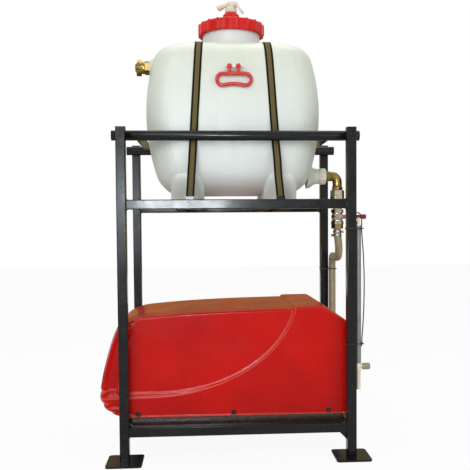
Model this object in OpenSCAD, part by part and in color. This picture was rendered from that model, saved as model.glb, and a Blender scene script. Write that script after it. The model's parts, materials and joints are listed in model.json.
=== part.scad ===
// Stationary orchard sprayer stand: a welded square-tube frame that carries a strapped
// spray tank above a hooded motor and pump unit, with a suction line down its right side.
// X runs along the width, Y into the depth and Z up from the floor. The origin is the
// centre of the footprint on the floor.

/* [Frame] */
// Outer width of the frame over its posts
frame_w = 1000; // [980:5:1040]
// Clearance between the posts and the hood's faces
hood_clear = 20; // [15:1:40]
// Clearance between the round top tubes and the tank
tank_clear = 9.6; // [9:0.2:20]
// Height of the posts with their caps
frame_h = 1400; // [1390:5:1440]
// Side of the square tube
tube_s = 40; // [38:1:42]
// Wall of the square tube
tube_wall = 2.5; // [2:0.5:4]
// Outer radius of the square tube's edges
tube_round = 4; // [3:0.5:5]
// Height of the mid rails' top face, on which the tank stands
mid_top = 1100; // [1095:1:1110]
// Height of the low rails' top face
low_top = 150; // [146:1:152]
// Side of a square foot plate
foot_s = 150; // [120:5:160]
// Thickness of a foot plate
foot_t = 8; // [6:1:12]
// Corner radius of a foot plate
foot_round = 14; // [6:1:25]
// Thickness of a post cap's head
cap_t = 3; // [2:0.5:5]
// Outer diameter of the round top tubes
top_tube_d = 42.4; // [40:0.2:44]
// Wall of the round top tubes
top_tube_wall = 2.6; // [2:0.2:4]
// Height of the round top tubes' axis
top_tube_z = 1370; // [1360:1:1372]
// How far a round top tube stands out past the posts
top_tube_over = 20; // [10:1:35]
// Offset of a tank bearer from the tank's middle, outer pair
bearer_out = 236; // [230:1:245]
// Offset of a tank bearer from the tank's middle, inner pair
bearer_in = 142; // [135:1:150]
// Width of the flat bars under the pump unit
unit_bar_w = 60; // [40:5:80]
// Thickness of the flat bars under the pump unit
unit_bar_t = 8; // [6:1:10]
// Width of the flat bars beside the tank
stop_w = 42; // [30:1:50]
// Thickness of the flat bars beside the tank
stop_t = 6; // [4:1:8]
// Leg of a corner gusset
gusset_s = 34; // [20:1:50]
// Thickness of a corner gusset
gusset_t = 6; // [4:1:10]

/* [Tank] */
// Place of the tank's middle along X
tank_x = -7; // [-10:1:10]
// Width of the tank at its widest
tank_w = 760; // [740:5:765]
// Depth of the tank at its deepest
tank_d = 516; // [500:2:518]
// Height of the tank's belly over the rails
tank_foot_h = 20; // [15:1:30]
// Height of the tank body without its feet
tank_body_h = 677; // [670:1:680]
// Height of the widest level over the belly
tank_wide_h = 360; // [340:5:380]
// Radius of the barrelled side walls
tank_side_r = 900; // [880:10:1200]
// Radius of the barrelled front and rear walls
tank_face_r = 1400; // [1300:10:2000]
// Shoulder radius of the tank, top and bottom
tank_round = 110; // [90:1:115]
// Radius of the tank's upright edges
tank_edge_r = 100; // [80:1:105]
// Wall of the moulded tank
tank_wall = 6; // [4:0.5:8]
// Outer radius of the filling neck
neck_r = 130; // [120:1:131]
// Height of the filling neck over the tank
neck_h = 80; // [70:1:90]
// Outer radius of the screw lid
lid_r = 149; // [146:1:152]
// Height of the lid's skirt
lid_h = 48; // [40:1:52]
// Wall of the lid
lid_wall = 5; // [4:0.5:8]
// Number of grip ribs round the lid
lid_ribs = 16; // [8:1:24]
// Rise of the lid for one full turn
lid_pitch = 10; // [6:1:12]
// Width of a strap
strap_w = 32; // [25:1:35]
// Thickness of a strap
strap_t = 2.5; // [2:0.1:3]
// Height of the handle pin over the tank's belly
handle_h = 547; // [530:1:560]
// Overall width of the pull handle
handle_w = 160; // [130:2:180]
// Rod diameter of the pull handle
handle_rod = 14; // [10:1:16]

/* [Plumbing] */
// Height of the tank outlet's axis over the belly
outlet_h = 94; // [85:1:105]
// Distance of the outlet in front of the tank's middle
outlet_y = -60; // [-80:1:-40]
// Place of the suction line's axis along X
line_x = 474; // [470:1:490]
// Reach of the valve lever from the suction line's axis
lever_reach = 126; // [105:1:130]
// Outer diameter of the suction hose
hose_d = 36; // [34:1:38]
// Bore of the suction hose
hose_bore = 28; // [25:0.5:30]
// Bend radius of the suction hose under the valve
hose_bend = 90; // [75:1:110]
// Bend radius of the suction hose where it turns down to the hood
hose_sweep = 60; // [50:1:120]
// Height of the suction hose's level stretch
hose_level_z = 838; // [830:1:850]
// Outer diameter of the dosing hose
dose_d = 22; // [18:1:23]
// Height of the fill inlet over the belly
inlet_h = 567; // [550:1:575]
// Distance of the fill inlet in front of the tank's middle
inlet_y = -125; // [-130:1:0]

/* [Pump unit] */
// How far the hood's nose stands out past the frame at the left
nose_over = 100; // [90:1:120]
// How far the hood stays inside the frame at the right
right_in = 30; // [25:1:40]
// Depth of the hood over its proud faces
hood_d = 580; // [560:2:590]
// Height of the hood's lower edge
hood_z0 = 177; // [170:1:185]
// Height of the hood's raised block
hood_z1 = 645; // [630:1:660]
// How far the hood's nose draws in at its front and rear faces
hood_round = 48; // [40:1:60]
// Height by which the styled face is set back
hood_step = 8; // [4:1:12]
// Wall of the hood
hood_wall = 4; // [3:0.5:6]
// Wall of the base pan
pan_wall = 4; // [3:0.5:6]
// Height of the rubber pads under the pan
pad_h = 6; // [4:1:10]
// Height of the drive line over the pan's floor
drive_h = 165; // [160:1:175]
// Radius of the motor's barrel
motor_r = 95; // [85:1:105]
// Length of the motor's barrel
motor_l = 260; // [220:5:280]
// Number of cooling fins round the motor
motor_fins = 24; // [16:1:36]
// Radius of the drive shaft
shaft_r = 14; // [10:1:16]

/* [Hidden] */
$fn = 48;
eps = 0.01;
gap = 0.3;             // running gap between bodies that pass each other
fit = 0.05;            // radial clearance of a pin in its bore
seat = 0.3;            // gap at a seat between curved pieces

// Frame
frame_d = max(hood_d + 2 * (tube_s + hood_clear), tank_d + 2 * (tank_clear + top_tube_d + tube_s));
hood_left = frame_w / 2 + nose_over;
hood_right = frame_w / 2 - right_in;
post_x = frame_w / 2 - tube_s / 2;
post_y = frame_d / 2 - tube_s / 2;
in_x = frame_w / 2 - tube_s;
in_y = frame_d / 2 - tube_s;
top_tube_r = top_tube_d / 2;
top_tube_y = in_y - top_tube_r;
top_tube_l = frame_w + 2 * top_tube_over;
plug_l = 20;
post_z1 = frame_h - cap_t;
unit_x = 0.32 * frame_w;  // place of the bars and pads under the pump unit
unit_y = 11 / 29 * hood_d;  // place of the pads along Y

// Tank
belly_z = mid_top + tank_foot_h;
tank_z1 = belly_z + tank_body_h;
tank_zw = belly_z + tank_wide_h;
foot_x0 = 130;         // inner side of a moulded tank foot
foot_x1 = 275;         // outer side of a moulded tank foot
neck_wall = 8;
neck_z1 = tank_z1 + neck_h;
basket_rim = 3;
gasket_t = 3;
lid_ceiling = neck_z1 + basket_rim + gasket_t;
lid_z1 = lid_ceiling + lid_wall + 12;
lid_z0 = lid_z1 - lid_h;
lid_bore = neck_r + 1;
boss_r0 = 38;
boss_r1 = 28;
boss_z1 = lid_z1 + 84;
vent_ring_t = 7;
vent_z = boss_z1 + vent_ring_t;
vent_r = 20;
vent_pin = [tank_x + 20, -23, vent_z + 14];
vent_lever_l = 56;
vent_lever_tilt = 52;
spout_a = 114;

// Tank handle
pin_z = belly_z + handle_h;
pin_y = -(tank_d / 2 + 6);
ear_x = 19;
ear_r = 11;
pin_r = 4;
loop_drop = 56;        // from the pin down to the middle of the loop
loop_r = 25;           // radius of the loop's round ends, to the rod's axis
grip_r = 190;          // radius of the arched grip
bracket_t = 10;

// Straps
strap_top_x = neck_r + strap_w / 2 + 1;
strap_low_x = 193;
lug_z = mid_top - 30;
lug_h = 44;
lug_t = 5;
strap_off = strap_t / 2 + seat;
strap_tube_y = top_tube_y - top_tube_r - strap_off;
strap_lug_y = in_y - lug_t - strap_t / 2;
bolt_r = 5;

// Fill inlet on the left wall
inlet_z = belly_z + inlet_h;
inlet_boss_r = 34;
inlet_x = tank_x - barrel(inlet_z - inlet_boss_r, tank_w / 2, tank_side_r, 0) - 1;
inlet_hex_l = 21;

// Outlet and suction line
outlet_z = belly_z + outlet_h;
boss_x1 = tank_x + tank_w / 2 + 16;
outlet_nut_l = 29;
outlet_nut_r = 37;
pipe_r = 21;
pipe_bore = 16;
elbow_r = 40;          // bend radius of the brass elbow
union_z1 = outlet_z - 64;
union_z0 = union_z1 - 42;
valve_z = 1028;
valve_h = 69;
valve_z0 = valve_z - valve_h / 2;
valve_z1 = valve_z + valve_h / 2;
ball_r = 22;
stem_r = 7;
stem_out = 38;         // from the valve's axis to the lever's back face
lever_t = 4;
tail_hex = 20;
hose_z1 = valve_z0 - tail_hex - 2;
hose_r = hose_d / 2;
hose_inset = 28;       // from the hood's faces to the pipes that enter its right wall
drop_x = hood_right + 40;  // place of the hose's lower stretch
drop_y = hood_d / 2 - hose_inset;
elbow_z = 300;         // axis of the hose's elbow in the hood's wall
hose_z0 = elbow_z + 26;
elbow_in = 20;         // reach of the elbow inside the hood's wall
plan_dx = drop_x - line_x;
plan_dy = drop_y - outlet_y;
plan_l = sqrt(plan_dx * plan_dx + plan_dy * plan_dy);
plan_a = atan2(plan_dy, plan_dx);

// Dosing line on the front right post
dose_r = dose_d / 2;
dose_x = frame_w / 2 + dose_r + seat;
dose_y = -post_y;
dose_z0 = 402;
dose_z1 = 985;
tie_zs = [487, 975];
hose_tie_z = 768;
tie_w = 4.5;
tie_t = 1.5;
cable_r = 2.5;
cable_x = dose_x + dose_r + cable_r + seat;
tee_z = 388;
rear_y = -drop_y;         // where the dosing pipe enters the hood

// Pump unit
pan_z0 = low_top - tube_s + unit_bar_t + pad_h;
pan_x = in_x - 5;
pan_y = hood_d / 2 - hood_wall - seat;
pan_z1 = hood_z0 + 28;
rim_h = 12;
drive_z = pan_z0 + pan_wall + drive_h;
motor_x0 = 0.09 * frame_w;         // drive end of the motor
pump_x1 = -0.07 * frame_w;         // drive end of the pump
filter_x = hood_right - 70;
filter_y = drop_y - 30;
filter_r = 46;
port_y = 140;          // end of the pump's suction port

// Half-width of a barrelled outline at height z, less an inset
function barrel(z, half, side_r, inset) =
    let (r = tank_round - inset,
         rs = side_r - inset,
         xs = half - side_r,
         zt = tank_z1 - tank_round,
         zb = belly_z + tank_round,
         ct = xs + sqrt(pow(rs - r, 2) - pow(zt - tank_zw, 2)),
         cb = xs + sqrt(pow(rs - r, 2) - pow(tank_zw - zb, 2)),
         z_hi = tank_zw + (zt - tank_zw) * rs / (rs - r),
         z_lo = tank_zw - (tank_zw - zb) * rs / (rs - r))
    z > z_hi ? ct + sqrt(max(0, r * r - pow(z - zt, 2)))
    : z < z_lo ? cb + sqrt(max(0, r * r - pow(z - zb, 2)))
    : xs + sqrt(rs * rs - pow(z - tank_zw, 2));

// Levels at which the tank's outline is taken, from belly to top
function tank_levels(inset, steps) =
    let (r = tank_round - inset, zt = tank_z1 - tank_round, zb = belly_z + tank_round)
    concat([for (i = [0 : steps]) zb - r * cos(90 * i / steps)],
           [for (i = [1 : 4]) zb + (zt - zb) * i / 5],
           [for (i = [0 : steps]) zt + r * sin(90 * i / steps)]);

// A rounded rectangle made of true arcs
module round_rect(w, h, r) {
    square([w - 2 * r, h], center = true);
    square([w, h - 2 * r], center = true);
    for (sx = [-1, 1], sy = [-1, 1])
        translate([sx * (w / 2 - r), sy * (h / 2 - r)])
            circle(r);
}

module tube_section() {
    difference() {
        round_rect(tube_s, tube_s, tube_round);
        round_rect(tube_s - 2 * tube_wall, tube_s - 2 * tube_wall, tube_round - tube_wall / 2);
    }
}

// Square tube of length l, along Z from the origin
module square_tube(l) {
    linear_extrude(l)
        tube_section();
}

// Square tube of length l centred on the origin, along X or Y
module rail_x(l) {
    translate([-l / 2, 0, 0])
        rotate([90, 0, 90])
            square_tube(l);
}

module rail_y(l) {
    translate([0, l / 2, 0])
        rotate([90, 0, 0])
            square_tube(l);
}

// Ring along Z from the origin
module ring(r1, r0, h) {
    difference() {
        cylinder(r = r1, h = h);
        translate([0, 0, -1])
            cylinder(r = r0, h = h + 2);
    }
}

// Hexagonal nut along Z with a bore
module hex_ring(r1, r0, h) {
    difference() {
        cylinder(r = r1, h = h, $fn = 6);
        translate([0, 0, -1])
            cylinder(r = r0, h = h + 2);
    }
}

// Quarter bend of pipe in the XZ plane, from (0, 0) heading down to (r, -r) heading along X
module bend_down_out(r, pipe, bore) {
    translate([r, 0, 0])
        rotate([90, 0, 0])
            rotate([0, 0, 180])
                rotate_extrude(angle = 90)
                    translate([r, 0])
                        difference() {
                            circle(pipe);
                            circle(bore);
                        }
}

// Quarter bend of pipe in the XZ plane, from (0, 0) heading along X to (r, -r) heading down
module bend_out_down(r, pipe, bore) {
    translate([0, 0, -r])
        rotate([90, 0, 0])
            rotate_extrude(angle = 90)
                translate([r, 0])
                    difference() {
                        circle(pipe);
                        circle(bore);
                    }
}

module frame_paint() {
    color([0.07, 0.07, 0.08])
        children();
}

module post(sx, sy) {
    frame_paint()
        translate([sx * post_x, sy * post_y, foot_t])
            square_tube(post_z1 - foot_t);
}

module post_front_left() {
    post(-1, -1);
}

module post_front_right() {
    post(1, -1);
}

module post_rear_left() {
    post(-1, 1);
}

module post_rear_right() {
    post(1, 1);
}

module foot_plates() {
    frame_paint()
        for (sx = [-1, 1], sy = [-1, 1])
            translate([sx * post_x, sy * post_y, 0])
                linear_extrude(foot_t)
                    round_rect(foot_s, foot_s, foot_round);
}

// Plastic caps of the four posts and of the round tubes' four ends
module tube_caps() {
    inner = tube_s - 2 * tube_wall - 0.4;
    color([0.05, 0.05, 0.05]) {
        for (sx = [-1, 1], sy = [-1, 1])
            translate([sx * post_x, sy * post_y, post_z1]) {
                linear_extrude(cap_t)
                    round_rect(tube_s, tube_s, tube_round);
                translate([0, 0, -plug_l])
                    linear_extrude(plug_l)
                        round_rect(inner, inner, tube_round - tube_wall / 2);
            }
        for (sx = [-1, 1], sy = [-1, 1])
            translate([sx * top_tube_l / 2, sy * top_tube_y, top_tube_z])
                rotate([0, sx * 90, 0]) {
                    cylinder(r = top_tube_r, h = cap_t);
                    translate([0, 0, -plug_l])
                        cylinder(r = top_tube_r - top_tube_wall - 0.2, h = plug_l);
                }
    }
}

module top_tube(sy) {
    frame_paint()
        translate([-top_tube_l / 2, sy * top_tube_y, top_tube_z])
            rotate([0, 90, 0])
                ring(top_tube_r, top_tube_r - top_tube_wall, top_tube_l);
}

module top_tube_front() {
    top_tube(-1);
}

module top_tube_rear() {
    top_tube(1);
}

module mid_rail_front() {
    frame_paint()
        translate([0, -post_y, mid_top - tube_s / 2])
            rail_x(2 * in_x);
}

module mid_rail_rear() {
    frame_paint()
        translate([0, post_y, mid_top - tube_s / 2])
            rail_x(2 * in_x);
}

// Four square tubes that join the mid rails and carry the tank's feet
module tank_bearers() {
    frame_paint()
        for (sx = [-1, 1], dx = [bearer_in, bearer_out])
            translate([tank_x + sx * dx, 0, mid_top - tube_s / 2])
                rail_y(2 * in_y);
}

module low_rail_front() {
    frame_paint()
        translate([0, -post_y, low_top - tube_s / 2])
            rail_x(2 * in_x);
}

module low_rail_rear() {
    frame_paint()
        translate([0, post_y, low_top - tube_s / 2])
            rail_x(2 * in_x);
}

module low_rails_side() {
    frame_paint()
        for (sx = [-1, 1])
            translate([sx * post_x, 0, low_top - tube_s / 2])
                rail_y(2 * in_y);
}

// Two flat bars across the low rails, flush with their undersides
module unit_bearers() {
    frame_paint()
        for (sx = [-1, 1])
            translate([sx * unit_x - unit_bar_w / 2, -in_y, low_top - tube_s])
                cube([unit_bar_w, 2 * in_y, unit_bar_t]);
}

// Triangular plates under the low rails at the right-hand posts
module gussets() {
    frame_paint()
        for (sy = [-1, 1])
            translate([in_x, sy * post_y + gusset_t / 2, low_top - tube_s])
                rotate([90, 0, 0])
                    linear_extrude(gusset_t)
                        polygon([[0, 0], [-gusset_s, 0], [0, -gusset_s]]);
}

// Flat bars between the round tubes that keep the tank from sliding sideways
module side_stops() {
    reach = top_tube_y - top_tube_r;
    frame_paint()
        for (sx = [-1, 1])
            translate([tank_x + sx * (tank_w / 2 + 2 + stop_w / 2) - stop_w / 2, -reach, top_tube_z - stop_t / 2])
                cube([stop_w, 2 * reach, stop_t]);
}

module strap_lugs() {
    frame_paint()
        for (sx = [-1, 1], sy = [-1, 1])
            translate([tank_x + sx * strap_low_x, sy * (in_y - lug_t / 2), lug_z + lug_h / 2])
                difference() {
                    cube([strap_w + 2, lug_t, lug_h], center = true);
                    rotate([90, 0, 0])
                        cylinder(r = bolt_r + 0.2, h = lug_t + 2, center = true);
                }
}

// The tank's barrelled box, drawn in by an inset all round
module tank_form(inset, steps) {
    half_w = tank_w / 2;
    half_d = tank_d / 2;
    r = tank_edge_r - inset;
    hull()
        for (z = tank_levels(inset, steps))
            for (sx = [-1, 1], sy = [-1, 1])
                translate([sx * (barrel(z, half_w, tank_side_r, inset) - r),
                           sy * (barrel(z, half_d, tank_face_r, inset) - r),
                           z])
                    cylinder(r = r, h = eps, $fn = 32);
}

module tank() {
    color([0.9, 0.92, 0.88, 0.9])
        translate([tank_x, 0, 0])
            difference() {
                union() {
                    tank_form(0, 6);
                    for (sx = [-1, 1], sy = [-1, 1])
                        translate([sx * (foot_x0 + foot_x1) / 2, sy * 120, mid_top])
                            linear_extrude(tank_foot_h + 12)
                                round_rect(foot_x1 - foot_x0, 150, 18);
                    translate([0, 0, tank_z1 - tank_wall])
                        cylinder(r = neck_r, h = neck_h + tank_wall, $fn = 96);
                    translate([boss_x1 - tank_x, outlet_y, outlet_z])
                        rotate([0, -90, 0])
                            cylinder(r1 = 34, r2 = 46, h = 80);
                    translate([inlet_x - tank_x, inlet_y, inlet_z])
                        rotate([0, 90, 0])
                            cylinder(r = inlet_boss_r, h = 30);
                }
                tank_form(tank_wall, 4);
                translate([0, 0, tank_z1 - 3 * tank_wall])
                    cylinder(r = neck_r - neck_wall, h = neck_h + 4 * tank_wall, $fn = 96);
                translate([boss_x1 - tank_x + 1, outlet_y, outlet_z])
                    rotate([0, -90, 0])
                        cylinder(r = pipe_r + gap, h = 110);
                translate([inlet_x - tank_x - 1, inlet_y, inlet_z])
                    rotate([0, 90, 0])
                        cylinder(r = 17, h = 60);
            }
}

// Removable strainer that hangs in the neck by its rim
module strainer_basket() {
    r = neck_r - neck_wall - 2;
    depth = 150;
    slots = 16;
    color([0.2, 0.3, 0.55])
        translate([tank_x, 0, neck_z1])
            difference() {
                union() {
                    cylinder(r = neck_r - 1, h = basket_rim);
                    translate([0, 0, -depth])
                        cylinder(r = r, h = depth);
                }
                translate([0, 0, 3 - depth])
                    cylinder(r = r - 3, h = depth + basket_rim);
                for (i = [0 : slots - 1], dz = [18, 82])
                    rotate([0, 0, i * 360 / slots])
                        translate([r - 8, -9, dz - depth])
                            cube([16, 18, 50]);
            }
}

// Screw lid: ribbed skirt, domed top and the vent's boss
module tank_lid() {
    edge = 9;
    color([0.75, 0.06, 0.03])
        translate([tank_x, 0, 0]) {
            difference() {
                rotate_extrude($fn = 96)
                    polygon([[0, lid_z0], [lid_r, lid_z0], [lid_r, lid_z1 - edge],
                             [lid_r - edge * 0.3, lid_z1 - edge * 0.3], [lid_r - edge, lid_z1],
                             [boss_r0 + 30, lid_z1 + 10], [boss_r0, lid_z1 + 13],
                             [boss_r1, boss_z1], [0, boss_z1]]);
                translate([0, 0, lid_z0 - 1])
                    cylinder(r = lid_bore, h = lid_ceiling - lid_z0 + 1, $fn = 96);
                translate([0, 0, lid_z0])
                    cylinder(r = 8, h = boss_z1 - lid_z0 + 1);
            }
            for (i = [0 : lid_ribs - 1])
                rotate([0, 0, (i + 0.5) * 360 / lid_ribs])
                    translate([lid_r - 4, 0, lid_z0])
                        cylinder(r = 7, h = lid_h + 2);
        }
}

// Flat seal that lifts with the lid but does not turn with it
module lid_gasket() {
    color([0.1, 0.1, 0.1])
        translate([tank_x, 0, neck_z1 + basket_rim])
            ring(neck_r - 1, neck_r - neck_wall + 1, gasket_t);
}

module vent_gasket() {
    color([0.35, 0.2, 0.1])
        translate([tank_x, 0, boss_z1])
            ring(boss_r1 - 5, 8, vent_ring_t);
}

// Small plastic tap on the lid, with its spout to the left
module vent_tap_body() {
    color([0.93, 0.93, 0.9])
        difference() {
            union() {
                translate([tank_x, 0, vent_z])
                    cylinder(r = vent_r + 2, h = 6);
                translate([tank_x, 0, vent_z])
                    cylinder(r = vent_r, h = 16);
                translate([tank_x + 6, 0, vent_z + vent_r - 1.7])
                    sphere(r = vent_r - 2);
                translate([tank_x, 0, vent_z + 22])
                    rotate([0, -spout_a, 0])
                        cylinder(r1 = 5, r2 = 14, h = 56);
                translate([tank_x, 0, boss_z1 - 20])
                    cylinder(r = 7.5, h = 30);
                translate([vent_pin[0], vent_pin[1] + 3, vent_pin[2]])
                    rotate([-90, 0, 0])
                        cylinder(r = 9, h = 16);
            }
            translate(vent_pin)
                rotate([-90, 0, 0])
                    cylinder(r = 4 + fit, h = 18);
            translate([tank_x, 0, vent_z + 22])
                rotate([0, -spout_a, 0])
                    translate([0, 0, 34])
                        cylinder(r = 8, h = 30);
        }
}

// Lever of the vent tap: a hub, a pin in the tap and a thin arm
module vent_tap_lever() {
    color([0.85, 0.85, 0.82])
        translate(vent_pin) {
            rotate([-90, 0, 0])
                cylinder(r = 4, h = 16);
            translate([0, 2.7, 0])
                rotate([90, 0, 0])
                    cylinder(r = 9, h = 8);
            rotate([0, vent_lever_tilt, 0])
                translate([0, -1.3, 0]) {
                    translate([vent_lever_l / 2, 0, 0])
                        cube([vent_lever_l, 5, 8], center = true);
                    translate([vent_lever_l, 2.5, 0])
                        rotate([90, 0, 0])
                            cylinder(r = 6, h = 5);
                }
        }
}

// Moulded base on the tank with the handle's cross pin
module handle_bracket() {
    z_hi = tank_z1 - tank_round;
    z_lo = z_hi - (tank_body_h - 2 * tank_round) / 5;
    y_hi = barrel(z_hi, tank_d / 2, tank_face_r, 0);
    y_lo = barrel(z_lo, tank_d / 2, tank_face_r, 0);
    lean = atan((y_lo - y_hi) / (z_hi - z_lo));
    wall_y = y_hi + (z_hi - pin_z) * tan(lean) + seat;
    plate_t = 5;
    color([0.7, 0.05, 0.04])
        translate([tank_x, 0, pin_z]) {
            translate([0, -wall_y, 0])
                rotate([90 - lean, 0, 0])
                    linear_extrude(plate_t)
                        round_rect(76, 34, 8);
            translate([-bracket_t / 2, pin_y - 6, -8])
                cube([bracket_t, -wall_y - 3 - pin_y + 6, 16]);
            translate([-ear_x - ear_r - 7, pin_y, 0])
                rotate([0, 90, 0])
                    cylinder(r = pin_r, h = 2 * (ear_x + ear_r + 7));
            for (sx = [-1, 1])
                translate([sx * (ear_x + ear_r + 5), pin_y, 0])
                    rotate([0, 90, 0])
                        cylinder(r = 6, h = 3, center = true);
        }
}

// Bean-shaped pull handle that hangs from its two round ears
module pull_handle() {
    rod = handle_rod / 2;
    half = handle_w / 2 - rod - loop_r;
    arch = asin(half / grip_r);
    low = -loop_drop - loop_r - grip_r * cos(arch);
    route = concat([for (a = [180 : -15 : 0]) [half + loop_r * sin(a), 0, loop_r * cos(a) - loop_drop]],
                   [for (x = [1 : -1 : -1]) [x * half / 2, 0, loop_r - loop_drop]],
                   [for (a = [0 : 15 : 180]) [-half - loop_r * sin(a), 0, loop_r * cos(a) - loop_drop]],
                   [for (i = [-3 : 3]) [grip_r * sin(arch * i / 4), 0, low + grip_r * cos(arch * i / 4)]]);
    color([0.75, 0.07, 0.06])
        translate([tank_x, pin_y, pin_z])
            difference() {
                union() {
                    swept(route, rod, 12, true);
                    for (sx = [-1, 1])
                        translate([sx * ear_x, 0, 0]) {
                            sphere(r = ear_r);
                            translate([0, 0, loop_r - loop_drop])
                                cylinder(r = 5, h = loop_drop - loop_r);
                        }
                }
                translate([-ear_x - ear_r - 1, 0, 0])
                    rotate([0, 90, 0])
                        cylinder(r = pin_r + fit, h = 2 * (ear_x + ear_r) + 2);
            }
}

// Place across X of a strap at height z
function strap_x(z) = strap_top_x + (strap_low_x - strap_top_x) * (tank_z1 - z) / (tank_z1 - lug_z);

// One side of a strap's route as [y, z], from the tank's top down to its lug
function strap_side() =
    let (zt = tank_z1 - tank_round,
         zb = belly_z + tank_round,
         xs = tank_d / 2 - tank_face_r,
         cy = xs + sqrt(pow(tank_face_r - tank_round, 2) - pow(zt - tank_zw, 2)),
         r = tank_round + strap_off)
    concat([[0, zt + r], [cy / 2, zt + r]],
           [for (a = [90 : -15 : 15]) [cy + r * cos(a), zt + r * sin(a)]],
           [for (i = [5 : -1 : 3])
               let (z = zb + (zt - zb) * i / 5) [barrel(z, tank_d / 2, tank_face_r, 0) + strap_off, z]],
           [[strap_tube_y, top_tube_z + 8], [strap_tube_y, top_tube_z - 8],
            [strap_lug_y, lug_z + lug_h], [strap_lug_y, lug_z + 4]]);

function reversed(p) = [for (i = [len(p) - 1 : -1 : 0]) p[i]];

// Closed band of four-cornered rings along a route of [y, z] points
module strap(sx) {
    side = strap_side();
    front = [for (p = reversed(side)) [-p[0], p[1]]];
    route = concat(front, [for (i = [1 : len(side) - 1]) side[i]]);
    n = len(route);
    dir = [for (i = [0 : n - 1])
        let (a = route[max(0, i - 1)], b = route[min(n - 1, i + 1)], d = b - a)
        d / norm(d)];
    corners = [for (i = [0 : n - 1])
        let (p = route[i], nrm = [-dir[i][1], dir[i][0]] * strap_t / 2, x = sx * strap_x(p[1]), h = strap_w / 2)
        each [[x - h, p[0] - nrm[0], p[1] - nrm[1]], [x + h, p[0] - nrm[0], p[1] - nrm[1]],
              [x + h, p[0] + nrm[0], p[1] + nrm[1]], [x - h, p[0] + nrm[0], p[1] + nrm[1]]]];
    faces = concat([[3, 2, 1], [3, 1, 0]],
                   [for (i = [0 : n - 2], k = [0 : 3])
                       let (a = 4 * i + k, b = 4 * i + (k + 1) % 4)
                       each [[a, b, b + 4], [a, b + 4, a + 4]]],
                   [let (e = 4 * (n - 1)) each [[e, e + 1, e + 2], [e, e + 2, e + 3]]]);
    color([0.55, 0.5, 0.36])
        translate([tank_x, 0, 0])
            difference() {
                polyhedron(corners, faces);
                for (sy = [-1, 1])
                    translate([sx * strap_low_x, sy * strap_lug_y, lug_z + lug_h / 2])
                        rotate([90, 0, 0])
                            cylinder(r = bolt_r + 0.3, h = 8, center = true);
            }
}

module strap_left() {
    strap(-1);
}

module strap_right() {
    strap(1);
}

// Ladder buckles on the straps' rear runs
module strap_buckles() {
    z = (top_tube_z - 8 + lug_z + lug_h) / 2;
    y = (strap_tube_y + strap_lug_y) / 2;
    tilt = atan((strap_lug_y - strap_tube_y) / (top_tube_z - 8 - lug_z - lug_h));
    color([0.6, 0.6, 0.62])
        for (sx = [-1, 1])
            translate([tank_x + sx * strap_x(z), y, z])
                rotate([tilt, 0, 0])
                    difference() {
                        cube([strap_w + 14, 8, 30], center = true);
                        cube([strap_w + 4, strap_t + 0.8, 32], center = true);
                        for (dz = [-7, 7])
                            translate([0, 0, dz])
                                cube([strap_w + 4, 10, 8], center = true);
                    }
}

// Bolts that clamp the strap ends to their lugs
module strap_bolts() {
    color([0.7, 0.7, 0.72])
        for (sx = [-1, 1], sy = [-1, 1])
            translate([tank_x + sx * strap_low_x, sy * (in_y - lug_t), lug_z + lug_h / 2])
                rotate([sy * 90, 0, 0]) {
                    translate([0, 0, -lug_t])
                        cylinder(r = bolt_r, h = 2 * lug_t + strap_t);
                    translate([0, 0, strap_t + seat])
                        cylinder(r = 9, h = 6, $fn = 6);
                }
}

// Brass bulkhead through the tank's left wall
module inlet_bulkhead() {
    color([0.72, 0.6, 0.33])
        translate([inlet_x, inlet_y, inlet_z])
            rotate([0, -90, 0])
                difference() {
                    union() {
                        translate([0, 0, -46])
                            cylinder(r = 16.5, h = 60);
                        translate([0, 0, seat])
                            cylinder(r = 31, h = inlet_hex_l - seat, $fn = 6);
                        translate([0, 0, -42])
                            cylinder(r = 27, h = 12, $fn = 6);
                    }
                    translate([0, 0, -47])
                        cylinder(r = 12, h = 80);
                }
}

// Claw coupling that takes the filling hose
module inlet_coupling() {
    color([0.76, 0.64, 0.36])
        translate([inlet_x - inlet_hex_l, inlet_y, inlet_z])
            rotate([0, -90, 0])
                difference() {
                    union() {
                        translate([0, 0, seat])
                            cylinder(r = 26, h = 14);
                        translate([0, 0, 14])
                            cylinder(r = 20, h = 26);
                        for (a = [0, 180])
                            rotate([0, 0, a])
                                rotate_extrude(angle = 60)
                                    translate([24, 14])
                                        square([12, 22]);
                        for (a = [0, 180])
                            rotate([0, 0, a])
                                rotate_extrude(angle = 60)
                                    translate([19, 14])
                                        square([8, 10]);
                    }
                    translate([0, 0, -1])
                        cylinder(r = 12, h = 60);
                    translate([0, 0, 34])
                        cylinder(r = 16, h = 10);
                }
}

module inlet_seal() {
    color([0.12, 0.12, 0.12])
        translate([inlet_x - inlet_hex_l - 34.2, inlet_y, inlet_z])
            rotate([0, -90, 0])
                ring(15.8, 11, 8);
}

// White bulkhead nut of the tank outlet
module outlet_nut() {
    grips = 12;
    color([0.93, 0.93, 0.9])
        translate([boss_x1, outlet_y, outlet_z])
            rotate([0, 90, 0])
                difference() {
                    union() {
                        cylinder(r = outlet_nut_r - 2, h = outlet_nut_l);
                        for (i = [0 : grips - 1])
                            rotate([0, 0, i * 360 / grips])
                                translate([outlet_nut_r - 5, 0, 3])
                                    cylinder(r = 5, h = outlet_nut_l - 6);
                    }
                    translate([0, 0, -1])
                        cylinder(r = pipe_r + gap, h = outlet_nut_l + 2);
                }
}

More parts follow.
